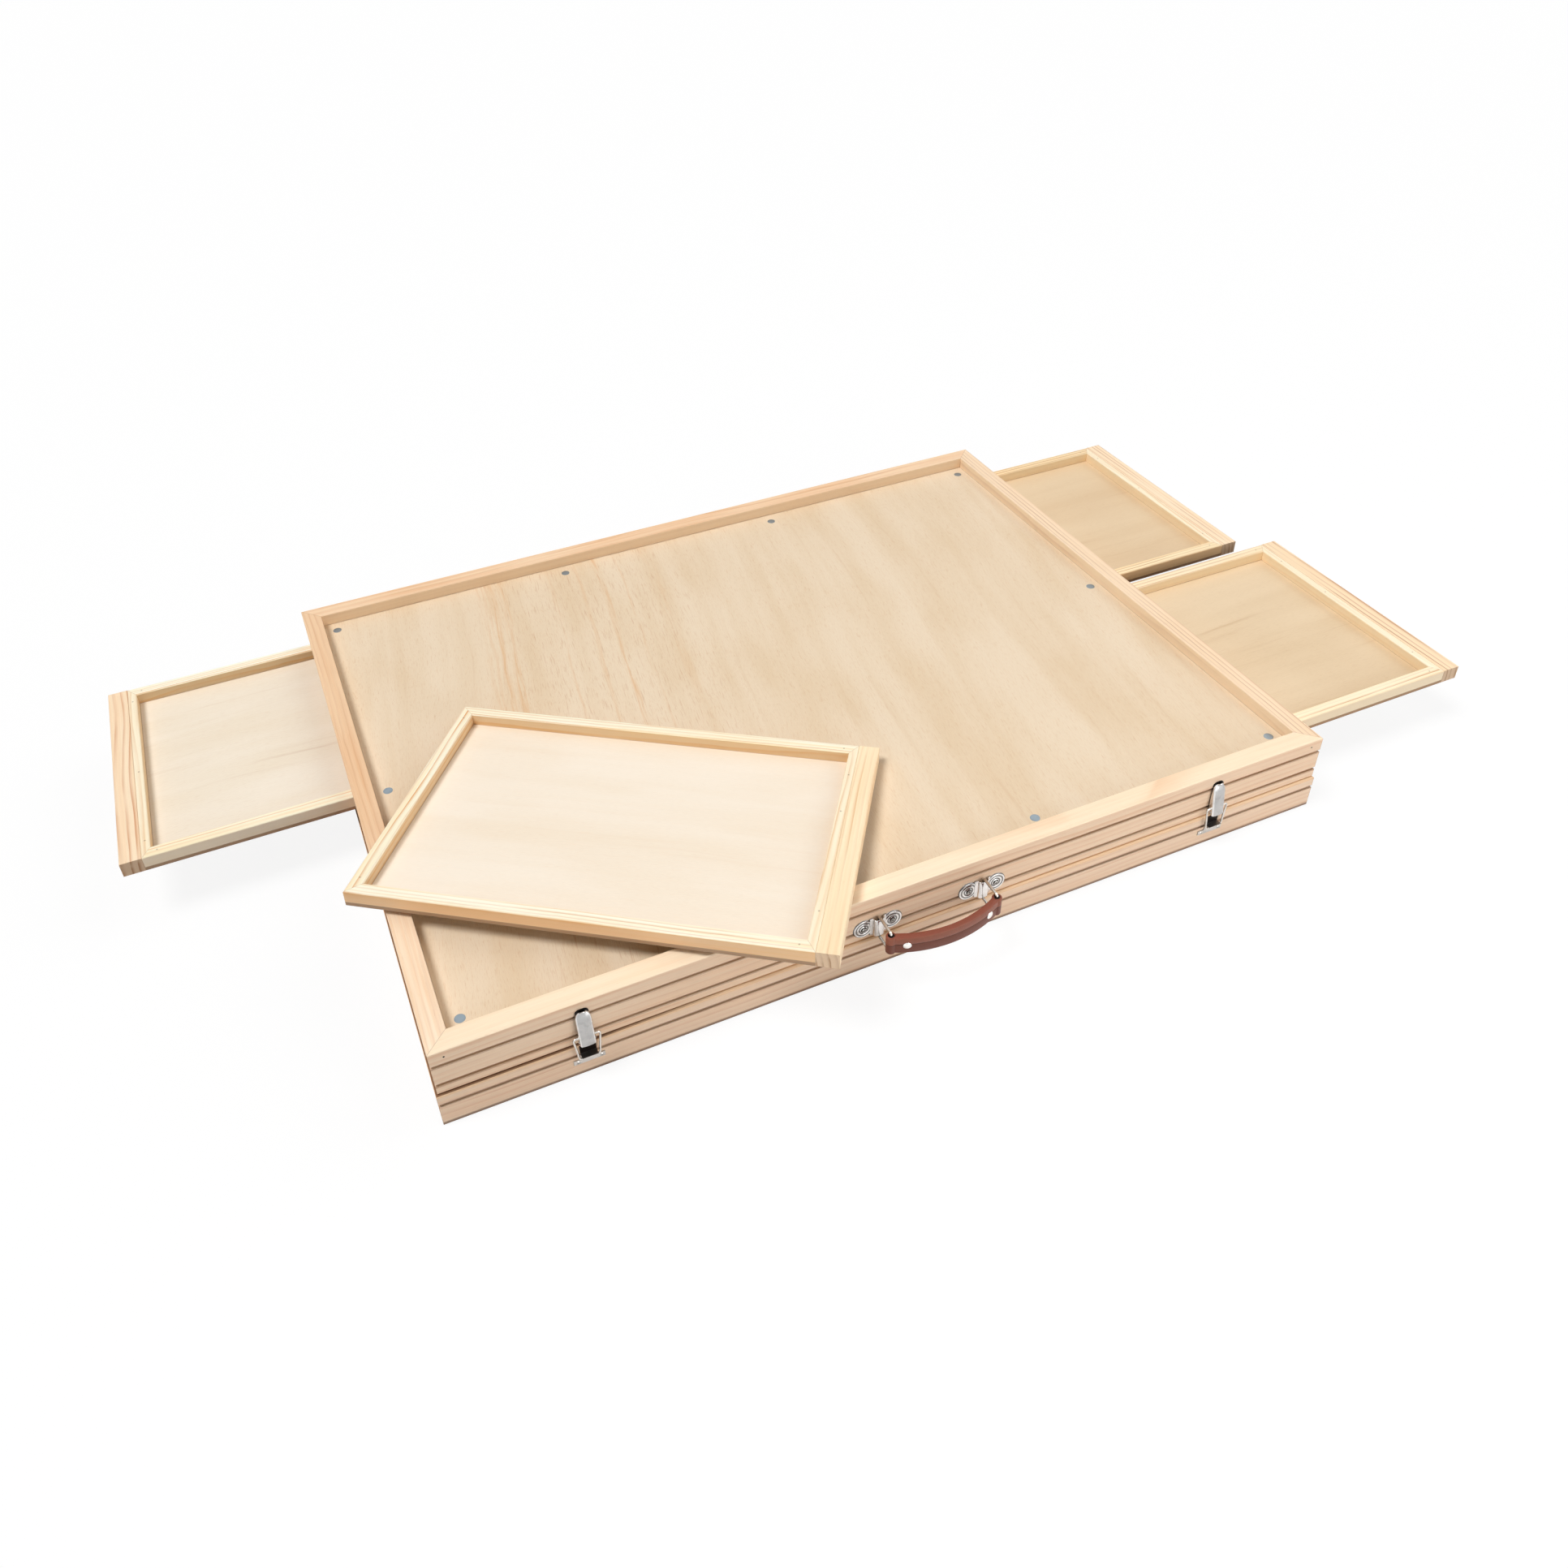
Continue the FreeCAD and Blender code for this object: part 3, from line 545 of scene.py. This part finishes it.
def veneer(name, axes, look, extra=None):
    look = {**veneerLook, **look}
    seed = look["seed"]
    paint = startMaterial(name)
    where = paint.here(nodeMiddle(name))
    l = paint.dot(where, axes[0]) + seed * veneerSeedStep
    a, h = paint.dot(where, axes[1]), paint.dot(where, axes[2])

    def grain(kind, across, level):
        alongStep, acrossStep, *detail = veneerGrain[kind]
        return paint.noise(paint.point(l * alongStep, across * acrossStep, level), 1, *detail)

    def marks(noise, kind):
        return paint.rise(noise, *veneerRange[kind])

    v = a + (grain("bend", a, seed) - 0.5) * look["bend"]
    v = v + (grain("ripple", a, seed) - 0.5) * look["ripple"]
    wide = paint.noise(paint.point(l * 0.0016, v / look["bandWidth"], seed), 1, 3, 0.6)
    cloud, peel = grain("cloud", v, seed + 9), grain("peel", v, seed + 3)
    fleck, dash, fine = grain("fleck", v, seed), grain("dash", v, seed), grain("fine", v, h)
    share = veneerShare
    bands = marks(wide, "wide") * share["wide"] + marks(cloud, "cloud") * share["cloud"]
    colour = paint.mix(bands, look["pale"], look["sand"])
    streak = marks(peel, "peel") * marks(wide, "peelPatch")
    colour = paint.mix(streak * look["streakDepth"], colour, look["streak"])
    flecks = marks(fleck, "fleck") * share["fleck"] + marks(dash, "dash") * share["dash"]
    colour = paint.mix(flecks * look["fleckDepth"] * (0.35 + cloud), colour, look["streak"])
    colour = paint.shade(colour, 1.0 + (fine - 0.5) * 0.09 + (fleck - 0.5) * 0.05)
    # three plies show at the edge, the lowest one darkened by painted shade
    side = 1 - paint.rise(abs(paint.faces(axes[2])), 0.3, 0.6)
    edge = paint.mix(paint.band(h, 0, look["plyHalf"], 0.15), look["edge"], look["ply"])
    dirt = (1 - paint.rise(h, -1.3, -0.7)) * look["dirtDepth"]
    edge = paint.mix(dirt, edge, look["dirt"])
    colour = paint.mix(side * look["edgeDepth"], colour, edge)
    if extra:
        colour = extra(paint, colour)
    relief = (fleck * veneerRelief["fleck"] + dash * veneerRelief["dash"]
              + fine * veneerRelief["fine"])
    return paint.finish(colour=colour, rough=look["rough"] + (fleck - 0.5) * look["roughSpread"],
                        specular=look["specular"],
                        normal=paint.bump(relief, look["relief"], look["reliefStrength"]))


# the work panel: its grain runs a few degrees off the case's depth
surfaceGrain = (Vector((0.139, 0.9903, 0)), Vector((0.9903, -0.139, 0)), worldAxes[2])
surfaceLook = {"pale": (235, 215, 188), "sand": (227, 203, 171), "streak": (208, 168, 126),
               "seed": 2.0, "bandWidth": 30.0, "streakDepth": 0.3, "fleckDepth": 0.75}
surfaceMarks = {
    "foot": (120, 84, 54),         # painted shade: a dark line where the panel meets the rails
    "footDepth": 0.5,
    "streak": (220, 172, 120),
    # warm streaks: middle across the grain, half width, depth
    "streaks": ((-250, 12, 0.26), (-244, 3, 0.5), (-233, 4.5, 0.5), (-181, 2, 0.3),
                (-150, 2.5, 0.4), (-127, 3.5, 0.55), (-104, 2, 0.3), (-70, 6, 0.16)),
    "streakBend": 16,
    "streakStart": (-170, -50),    # they fade in between these, along the grain
    "canal": (198, 148, 104),
    "canalDepth": 0.36,
    "canalBand": (-145, 70, 80),   # middle, half width and soft edge across the grain
}


def surfaceLines(paint, colour):
    look = surfaceMarks
    where = paint.here()
    x, y, _ = where.split()
    # painted shade where the panel meets the rails
    foot = paint.rise((abs(x) - recessHalf[0]).most(abs(y) - recessHalf[1]), -1.1, -0.1)
    colour = paint.mix(foot * look["footDepth"], colour, look["foot"])
    l, a = paint.dot(where, surfaceGrain[0]), paint.dot(where, surfaceGrain[1])
    bend = paint.noise(paint.point(l * 0.006, 0.3, 0.7), 1, 2) - 0.5
    bent = a + bend * look["streakBend"]
    begun = paint.rise(l, *look["streakStart"])
    for middle, half, depth in look["streaks"]:
        tone = paint.noise(paint.point(l * 0.012, bent * 0.3, middle), 1, 4, 0.6)
        line = paint.band(bent, middle, half * 0.3, half) * paint.rise(tone, 0.4, 0.62) * begun
        colour = paint.mix(line * depth, colour, look["streak"])
    canals = paint.noise(paint.point(l * 0.045, a * 0.7, 4.0), 1, 2)
    canals = paint.rise(canals, 0.57, 0.7) * paint.band(a, *look["canalBand"])
    return paint.mix(canals * look["canalDepth"], colour, look["canal"])


wear("work_panel", veneer("work_panel", surfaceGrain, surfaceLook, surfaceLines))
for n, panel in enumerate(("lower_bottom_panel", "drawer_shelf")):
    wear(panel, veneer(panel, grainAxes["y"], {"seed": 5.0 + n, "pale": (238, 216, 184)}))

panelLooks = {
    "left_back_drawer": {"pale": (246, 234, 216), "sand": (240, 225, 202),
                         "streak": (206, 172, 140), "seed": 9.0, "streakDepth": 0.4,
                         "fleckDepth": 0.3},
    "right_back_drawer": {"pale": (228, 203, 168), "sand": (221, 193, 156),
                          "streak": (196, 154, 110), "seed": 10.0, "streakDepth": 0.3,
                          "fleckDepth": 0.3},
    "right_front_drawer": {"pale": (229, 205, 171), "sand": (221, 195, 159),
                           "streak": (194, 154, 112), "seed": 11.0, "streakDepth": 0.5,
                           "fleckDepth": 0.35},
    "loose_drawer": {"pale": (250, 237, 219), "sand": (246, 230, 208), "seed": 12.0,
                     "streakDepth": 0.1, "fleckDepth": 0.16},
}
railFootLook = {"colour": (146, 102, 64), "depth": 0.6}


def railFoot(start, axes):  # painted shade: a thin dark line where the panel meets the rails
    def extra(paint, colour):
        where = paint.here(start)
        l, a = paint.dot(where, axes[0]), abs(paint.dot(where, axes[1]))
        foot = paint.rise(offPanel(l, drawerHalf - a), -0.9, -0.1)
        return paint.mix(foot * railFootLook["depth"], colour, railFootLook["colour"])
    return extra


for drawer, look in panelLooks.items():
    start, axes = drawers[drawer]
    name = drawer + "_panel"
    wear(name, veneer(name, axes, {"bandWidth": 48.0, **look}, railFoot(start, axes)))
print("plywood")

# metals: smeared with grime, finely scratched
metalLook = {"grime": 0.15, "gritTone": 0.08, "smearRough": 0.12, "gritRough": 0.1,
             "relief": 0.03, "scratch": 0.05}


def metal(name, colour, rough, extra=None):
    look = metalLook
    paint = startMaterial(name)
    where = paint.here()
    smear = paint.noise(where, 0.22, 3)
    grit = paint.noise(where, 3.5, 3, 0.6)
    grime = paint.rise(smear, 0.45, 0.75) * look["grime"]
    tone = paint.shade(colour, 1.0 - grime + (grit - 0.5) * look["gritTone"])
    if extra:
        tone = extra(paint, tone)
    roughness = rough + smear * look["smearRough"] + (grit - 0.5) * look["gritRough"]
    return paint.finish(colour=tone, metal=1.0, rough=roughness,
                        normal=paint.bump(grit, look["relief"], look["scratch"]))


def hollows(low, high, depth, colour):  # painted shade in hollows: dark below low, none above high, measured to the front
    def extra(paint, tone):
        out = -1 * paint.here().split()[1]
        return paint.mix((1 - paint.rise(out, low, high)) * depth, tone, colour)
    return extra


def blackened(paint, tone):  # painted shade: the well behind the loop's bar coloured near black
    height = paint.here().split()[2]
    return paint.mix(paint.rise(height, 24.9, 25.4), tone, (42, 34, 30))


def litEdges(paint, tone):  # painted reflection: the lever's flat face painted darker than its rolled edges, which are painted brighter
    sideRoll = paint.rise(abs(paint.faces(worldAxes[0])), 0.2, 0.6)
    topRoll = paint.rise(paint.faces(worldAxes[2]), 0.42, 0.7)
    haze = paint.noise(paint.here(), 0.12, 2)
    dull = paint.shade(tone, 0.62 + haze * 0.2)
    return paint.mix(sideRoll.most(topRoll), dull, paint.shade(tone, 1.12))


metals = {
    "nickel": {"colour": (206, 205, 204), "rough": 0.2},
    "wire": {"colour": (204, 200, 194), "rough": 0.14},
    "disc": {"colour": (146, 158, 166), "rough": 0.34},
    "rivet": {"colour": (238, 236, 232), "rough": 0.14},
    "hinge": {"colour": (176, 174, 170), "rough": 0.3},
    "zinc": {"colour": (196, 193, 188), "rough": 0.26,       # painted shade in the recess and rim of screw heads
             "extra": hollows(306.2, 306.6, 1.0, (40, 36, 33))},
    "bracketMetal": {"colour": (224, 222, 220), "rough": 0.16,   # painted shade and painted dark reflections between the lobes' raised rings
                     "extra": hollows(305.2, 305.55, 0.8, (62, 58, 55))},
    "leverMetal": {"colour": (206, 205, 204), "rough": 0.2, "extra": litEdges},
    "catchMetal": {"colour": (192, 190, 187), "rough": 0.24, "extra": blackened},
    # near black: painted shade behind the latch levers
    "darkMetal": {"colour": (40, 37, 35), "rough": 0.4},
}
metals = {name: metal(name, **look) for name, look in metals.items()}
metalPieces = {
    "darkMetal": ["latch_base_left", "latch_base_right"],
    "catchMetal": ["catch_plate_left", "catch_plate_right"],
    "wire": ["latch_loop_left", "latch_loop_right", "handle_ring_left", "handle_ring_right"],
    "hinge": ["hinge_upper_leaf_left", "hinge_upper_leaf_right", "hinge_lower_leaf_left",
              "hinge_lower_leaf_right", "hinge_pins"],
    "nickel": ["latch_pins"],
    "zinc": ["upper_screws", "lower_screws", "corner_brads"],
    "disc": ["steel_discs"],
    "rivet": ["strap_rivets"],
}
for kind, pieces in metalPieces.items():
    for piece in pieces:
        wear(piece, metals[kind])
print("metals")

# leather of the carrying strap
leatherLook = {
    "face": (146, 84, 62),
    "mottle": (160, 88, 64),
    "mottleDepth": 0.5,
    "low": (118, 62, 44),          # band below the crease
    "cut": (126, 60, 40),          # the cut edges
    "cutDepth": 0.8,
    "crease": (62, 28, 20),
    "creaseDepth": 0.8,
    "creaseHeight": 47.9,
    # painted shade in the holes of the wrapped ends
    "eye": (24, 13, 10),
    "eyes": ((-43.0, -326.8), (53.0, -326.8)),
    "eyeRadius": (2.3, 3.0),       # painted shade in the holes: dark within the first, none beyond the second
    "rough": 0.42,
    "specular": 0.35,
    "relief": 0.09,
    "reliefStrength": 0.5,
}


def leather():
    look = leatherLook
    paint = startMaterial("leather")
    where = paint.here()
    x, y, z = where.split()
    cells = paint.add("TexVoronoi", {"feature": "DISTANCE_TO_EDGE"},
                      {"Vector": where, "Scale": 1.1, "Randomness": 0.9})
    pores = paint.noise(where, 4.0, 3, 0.6)
    mottle = paint.rise(paint.noise(where, 0.35, 3), 0.35, 0.7) * look["mottleDepth"]
    colour = paint.mix(mottle, look["face"], look["mottle"])
    height = look["creaseHeight"]
    colour = paint.mix(1 - paint.rise(z, height - 0.9, height + 0.1), colour, look["low"])
    crease = paint.band(z, height, 0.25, 0.5) * look["creaseDepth"]
    colour = paint.mix(crease, colour, look["crease"])
    cut = paint.rise(abs(paint.faces(worldAxes[2])), 0.45, 0.8) * look["cutDepth"]
    colour = paint.mix(cut, colour, look["cut"])
    # painted shade in the holes round the wire
    for eyeX, eyeY in look["eyes"]:
        dx, dy = x - eyeX, y - eyeY
        ring = (dx * dx + dy * dy).root()
        colour = paint.mix(1 - paint.rise(ring, *look["eyeRadius"]), colour, look["eye"])
    grain = paint.rise(cells, 0.0, 0.16) * 0.8 + pores * 0.3
    colour = paint.shade(colour, 0.84 + grain * 0.14)
    return paint.finish(colour=colour, rough=look["rough"] + (pores - 0.5) * 0.2,
                        specular=look["specular"],
                        normal=paint.bump(grain, look["relief"], look["reliefStrength"]))


def place(name, data):  # a new object in the scene
    thing = bpy.data.objects.new(name, data)
    bpy.context.scene.collection.objects.link(thing)
    return thing


# skins: rows of rings of points, in millimetres, joined into one mesh
def skin(bm, rings, closed=True, wrap=False, caps=False):
    rows = [[bm.verts.new(Vector(p) * mm) for p in ring] for ring in rings]
    count = len(rows[0])
    for i in range(len(rows) if wrap else len(rows) - 1):
        here, there = rows[i], rows[(i + 1) % len(rows)]
        for j in range(count if closed else count - 1):
            k = (j + 1) % count
            bm.faces.new((here[j], here[k], there[k], there[j]))
    if caps:
        bm.faces.new(rows[0])
        bm.faces.new(rows[-1])


def lathe(bm, profile, centre, axis, steps=48):  # profile is (radius, height) round the axis
    axis = Vector(axis)
    side = axis.orthogonal().normalized()
    rings = []
    for i in range(steps):
        way = Matrix.Rotation(2 * math.pi * i / steps, 3, axis) @ side
        rings.append([Vector(centre) + way * radius + axis * height for radius, height in profile])
    skin(bm, rings, closed=False, wrap=True)


def plate(bm, outline, push):  # a flat outline given a thickness
    lower = [bm.verts.new(Vector(p) * mm) for p in outline]
    upper = [bm.verts.new((Vector(p) + Vector(push)) * mm) for p in outline]
    bm.faces.new(lower)
    bm.faces.new(upper)
    for i in range(len(lower)):
        j = (i + 1) % len(lower)
        bm.faces.new((lower[i], lower[j], upper[j], upper[i]))


def arc(x, y, radius, start, end, steps=5):  # points round a corner, angles in degrees
    turns = [math.radians(start + (end - start) * i / steps) for i in range(steps + 1)]
    return [(x + radius * math.cos(t), y + radius * math.sin(t)) for t in turns]


def makePiece(bm, name, material, body, standsFor, slot, sharp=38):
    bmesh.ops.remove_doubles(bm, verts=bm.verts, dist=0.002 * mm)
    bmesh.ops.recalc_face_normals(bm, faces=bm.faces)
    for edge in bm.edges:
        edge.smooth = edge.is_boundary or edge.calc_face_angle(0) < math.radians(sharp)
    for face in bm.faces:
        face.smooth = True
    mesh = bpy.data.meshes.new(name)
    bm.to_mesh(mesh)
    bm.free()
    mesh.materials.append(material)
    piece = place(name, mesh)
    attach(piece, body)
    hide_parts(*standsFor)
    return piece


sheetEdge = {"width": 0.15, "segments": 2, "angle": 50}


def thicken(piece, thick):  # a sheet grows backwards from the face that looks to the front
    frontArea = sum(-face.normal.y * face.area for face in piece.data.polygons)
    sheet = piece.modifiers.new("sheet", "SOLIDIFY")
    sheet.thickness = thick * mm
    sheet.offset = -1 if frontArea > 0 else 1
    sheet.use_even_offset = True
    soft = piece.modifiers.new("edges", "BEVEL")
    soft.width = sheetEdge["width"] * mm
    soft.segments = sheetEdge["segments"]
    soft.limit_method = "ANGLE"
    soft.angle_limit = math.radians(sheetEdge["angle"])


# carrying strap: a folded leather band with a crease, wrapped round a wire at each end
strapShape = {
    "middle": (5.0, -232.4),       # of the arc the band follows
    "radius": 105.9,
    "steps": 64,
    "low": 37.95,
    "high": 56.05,
    "thick": 6.0,
    "slim": 0.1,                   # pressed thinner by this share in the middle
    "corner": 1.5,
    "lowBand": 0.35,               # how much the band below the crease is set back
    "creaseDepth": 0.75,
    "eye": 4.2,                    # wrapped end, outside radius
    "eyeCorner": 1.1,
    "hole": 1.8,
    "holeCorner": 0.6,
    "tuck": 2.6,                   # how far the band ends before the wire's middle
}


def makeStrap():
    look = strapShape
    low, high, r = look["low"], look["high"], look["corner"]
    half, crease = look["thick"] / 2, leatherLook["creaseHeight"]
    front = half - look["lowBand"]
    section = arc(half - r, high - r, r, 90, 0)
    section += [(half + 0.12, (high + crease) / 2), (half, crease + 1.0),
                (half - 0.2, crease + 0.5), (half - look["creaseDepth"], crease),
                (front - 0.2, crease - 0.4), (front, crease - 0.9),
                (front + 0.05, (low + crease) / 2)]
    section += arc(front - r, low + r, r, 0, -90)
    section += arc(-half + r, low + r, r, -90, -180) + arc(-half + r, high - r, r, 180, 90)
    bm = bmesh.new()
    eyes, radius, middle = leatherLook["eyes"], look["radius"], look["middle"]
    reach = math.asin((eyes[1][0] - eyes[0][0]) / 2 / radius) - look["tuck"] / radius
    rings = []
    for i in range(look["steps"] + 1):
        t = reach * (2 * i / look["steps"] - 1)
        slim = 1 - look["slim"] * math.cos(t / reach * math.pi / 2)
        rings.append([(middle[0] + (radius + u * slim) * math.sin(t),
                       middle[1] - (radius + u * slim) * math.cos(t), z) for u, z in section])
    skin(bm, rings, caps=True)
    rim, hole, out, soft = look["eye"], look["hole"], look["eyeCorner"], look["holeCorner"]
    wrapped = arc(hole + soft, low + soft, soft, 270, 180)
    wrapped += arc(hole + soft, high - soft, soft, 180, 90)
    wrapped += arc(rim - out, high - out, out, 90, 0) + arc(rim - out, low + out, out, 0, -90)
    for x, y in eyes:
        lathe(bm, wrapped + wrapped[:1], (x, y, 0), (0, 0, 1))
    makePiece(bm, "leatherStrap", leather(), "handle_strap", ["handle_strap"], "leather", 60)


makeStrap()

# handle brackets: two ringed lobes and a raised saddle over the wire
bracketShape = {
    "middles": {"left": -43.0, "right": 53.0},
    "height": 47.0,
    "front": -304.5,
    "lobeSpacing": 25.6,
    # radius and height
    "rings": ((1.3, 1.2), (2.9, 1.2), (3.3, 0.7), (4.3, 0.65), (4.75, 1.12), (5.6, 1.2),
              (6.1, 0.72), (7.0, 0.66), (7.5, 1.08), (8.3, 1.02), (8.95, 0.6), (9.2, 0.0)),
    # half width and height
    "saddle": ((7.6, 0.75), (6.4, 1.1), (5.3, 1.35), (4.75, 2.1), (4.55, 3.0), (3.9, 4.1),
               (2.8, 4.75), (1.4, 4.95)),
    "saddleTop": 5.0,
    "saddleTall": (38.0, 56.0),
    "saddleEnds": ((0.0, 0.93), (0.5, 0.98), (1.4, 1.0)),  # in from each end, share of the height
    "sheet": 0.7,
}


def makeBrackets():
    look = bracketShape
    low, high = look["saddleTall"]
    levels = [(low + inset, share) for inset, share in look["saddleEnds"]]
    levels += [(high - inset, share) for inset, share in reversed(look["saddleEnds"])]
    profile = [(-a, b) for a, b in look["saddle"]] + [(0, look["saddleTop"])]
    profile += list(reversed(look["saddle"]))
    for side, x in look["middles"].items():
        rest = (metals["bracketMetal"], "case", ["handle_bracket_" + side], "nickel")
        bm = bmesh.new()
        for lobe in (-1, 1):
            seat = (x + lobe * look["lobeSpacing"] / 2, look["front"], look["height"])
            lathe(bm, look["rings"], seat, (0, -1, 0))
        makePiece(bm, "bracketLobes_" + side, *rest, 80)
        bm = bmesh.new()
        skin(bm, [[(x + a, look["front"] - b * share, z) for a, b in profile]
                  for z, share in levels], closed=False)
        thicken(makePiece(bm, "bracketSaddle_" + side, *rest, 60), look["sheet"])


makeBrackets()

# latch levers: one pressed sheet with rounded cheeks, a bowed head and a narrow finger tab
leverShape = {
    "middles": {"left": -287.5, "right": 287.5},
    "front": -304.5,
    "corner": 1.9,
    "crown": 0.3,                  # how far the face swells between its long edges
    "crownHalf": 6.2,
    "sheet": 0.8,
    # height, outer face, half width, depth of the cheeks
    "stations": ((38.6, 8.6, 6.15, 6.0), (39.2, 8.51, 6.2, 6.2), (44.0, 7.77, 6.2, 5.8),
                 (50.0, 6.83, 6.2, 5.0), (56.0, 5.9, 6.2, 4.2), (60.5, 5.2, 6.2, 3.4),
                 (62.0, 4.94, 6.2, 3.0), (63.4, 4.62, 6.15, 2.7), (64.7, 4.22, 6.0, 2.4),
                 (65.9, 3.78, 5.7, 2.1), (67.0, 3.32, 5.2, 1.9), (67.9, 2.92, 4.6, 1.7),
                 (68.7, 2.6, 3.8, 1.5), (69.3, 2.5, 3.1, 1.4), (69.9, 2.75, 2.6, 1.3),
                 (70.5, 3.4, 2.3, 1.2), (71.1, 4.2, 2.1, 1.1), (71.4, 4.7, 1.9, 1.0)),
}


def makeLevers():
    look = leverShape
    for side, x in look["middles"].items():
        rings = []
        for z, out, half, cheek in look["stations"]:
            r = min(look["corner"], cheek * 0.8)
            left = [(-half, cheek), (-half, (cheek + r) / 2)]
            left += [(a, -b) for a, b in arc(-half + r, -r, r, 180, 90, 6)]
            crown = look["crown"] * half / look["crownHalf"]
            shares = (-0.5, -0.25, 0, 0.25, 0.5)
            face = [(half * share, -crown * (1 - share * share)) for share in shares]
            section = left + face + [(-a, b) for a, b in reversed(left)]
            rings.append([(x + a, look["front"] - out + crown + b, z) for a, b in section])
        bm = bmesh.new()
        skin(bm, rings, closed=False)
        lever = makePiece(bm, "latchLever_" + side, metals["leverMetal"], "latch_lever_" + side,
                          ["latch_lever_" + side], "nickel", 70)
        thicken(lever, look["sheet"])


makeLevers()

# the base plate behind each lever, coloured near black as painted shade for the gap behind the
# lever's head, with the ears that carry the pin
baseShape = {
    "half": 5.3,
    "low": 38.8,
    "high": 71.3,
    "corner": 3.6,
    "thick": 0.95,
    "ear": 4.95,                   # out to the ear's outer side
    "earThick": 0.9,
    "earTop": 4.5,                 # above the pin, at the plate
    "pin": (4.2, 40.5),            # out and up
    "eye": 1.9,
}


def makeBases():
    look = baseShape
    front, half, r = leverShape["front"], look["half"], look["corner"]
    low, high, (out, height) = look["low"], look["high"], look["pin"]
    outline = ([(-half, low), (half, low)] + arc(half - r, high - r, r, 0, 90, 8)
               + arc(-half + r, high - r, r, 90, 180, 8))
    ear = ([(0.2, low), (out, low)] + arc(out, height, look["eye"], -60, 80, 8)
           + [(0.2, height + look["earTop"])])
    for side, x in leverShape["middles"].items():
        bm = bmesh.new()
        plate(bm, [(x + a, front, z) for a, z in outline], (0, -look["thick"], 0))
        for edge in (-look["ear"], look["ear"] - look["earThick"]):
            plate(bm, [(x + edge, front - u, z) for u, z in ear], (look["earThick"], 0, 0))
        makePiece(bm, "latchPlate_" + side, metals["darkMetal"], "case", ["latch_base_" + side],
                  "nickel")


makeBases()
print("strap, brackets, latches")

# stage: a white floor that keeps a light shadow, plain soft light, the camera
white = (1.0, 1.0, 1.0, 1.0)
floorLook = {"size": 60.0, "sunk": 0.0004, "bounce": 0.62, "shadow": 0.11}
lights = {
    "sky": 0.045,
    "suns": {"key": {"from": (-0.5, 0.02, 1.0), "power": 2.47, "spread": 24},
             "fill": {"from": (0.8, 0.1, 0.62), "power": 1.05, "spread": 50}},
    "side": {"place": (0.5, -1.5, 0.45), "aim": (0.1, -0.3, 0.05), "power": 8.1, "size": 1.0},
}
cameraLook = {
    "place": (-0.3961158, -0.9268833, 0.8425924),
    "right": (0.9169, -0.3978, -0.0313),
    "up": (0.2623, 0.5418, 0.7985),
    "sensor": 36.0,
    "lens": 30.112,
    "shift": (0.021304, -0.075293),
    "clip": (0.02, 100.0),
}


def makeFloor():
    half = floorLook["size"] / 2
    corners = [(-half, -half, 0), (half, -half, 0), (half, half, 0), (-half, half, 0)]
    mesh = bpy.data.meshes.new("floor")
    mesh.from_pydata(corners, [], [(0, 1, 2, 3)])
    floor = place("floor", mesh)
    floor.location.z = -floorLook["sunk"]
    paint = startMaterial("floorWhite")
    lit = paint.add("BsdfDiffuse", values={"Color": white})
    plain = paint.add("Emission", values={"Color": white, "Strength": 1.0})
    seen = paint.add("MixShader", values={0: floorLook["shadow"], 1: plain, 2: lit})
    grey = paint.add("BsdfDiffuse", values={"Color": (floorLook["bounce"],) * 3 + (1.0,)})
    # metal shows the floor with its shadow, wood gets a greyer light from it
    base = paint.add("MixShader", values={0: paint.ray("Glossy"), 1: grey, 2: lit})
    direct = paint.ray("Camera").most(paint.ray("Transmission"))
    surface = paint.add("MixShader", values={0: direct, 1: base, 2: seen})
    paint.add("OutputMaterial", values={"Surface": surface})
    mesh.materials.append(paint.owner)


def makeWorld():
    world = bpy.data.worlds.new("studio")
    bpy.context.scene.world = world
    paint = Paint(world)
    direct = paint.ray("Camera").most(paint.ray("Glossy")).most(paint.ray("Transmission"))
    strength = direct * (1 - lights["sky"]) + lights["sky"]
    sky = paint.add("Background", values={"Color": white, "Strength": strength})
    paint.add("OutputWorld", values={"Surface": sky})


def addLamp(name, kind, power, back):  # back is the way from what is lit to the lamp
    lamp = bpy.data.lights.new(name, kind)
    lamp.energy = power
    holder = place(name, lamp)
    holder.rotation_euler = Vector(back).to_track_quat("Z", "Y").to_euler()
    return holder


def makeLights():
    for name, look in lights["suns"].items():
        sun = addLamp(name, "SUN", look["power"], look["from"])
        sun.data.angle = math.radians(look["spread"])
    look = lights["side"]
    lamp = addLamp("side", "AREA", look["power"], Vector(look["place"]) - Vector(look["aim"]))
    lamp.data.size = look["size"]
    lamp.location = look["place"]


def makeCamera():
    look = cameraLook
    camera = bpy.data.cameras.new("camera")
    camera.lens = look["lens"]
    camera.sensor_width = look["sensor"]
    camera.sensor_fit = "HORIZONTAL"
    camera.shift_x, camera.shift_y = look["shift"]
    camera.clip_start, camera.clip_end = look["clip"]
    right = Vector(look["right"]).normalized()
    back = right.cross(Vector(look["up"]).normalized()).normalized()
    turn = Matrix((right, back.cross(right), back)).transposed()
    eye = place("camera", camera)
    eye.matrix_world = Matrix.Translation(look["place"]) @ turn.to_4x4()
    bpy.context.scene.camera = eye


makeFloor()
makeWorld()
makeLights()
makeCamera()
bpy.context.scene.view_settings.view_transform = "Standard"
print("stage, lights, camera")
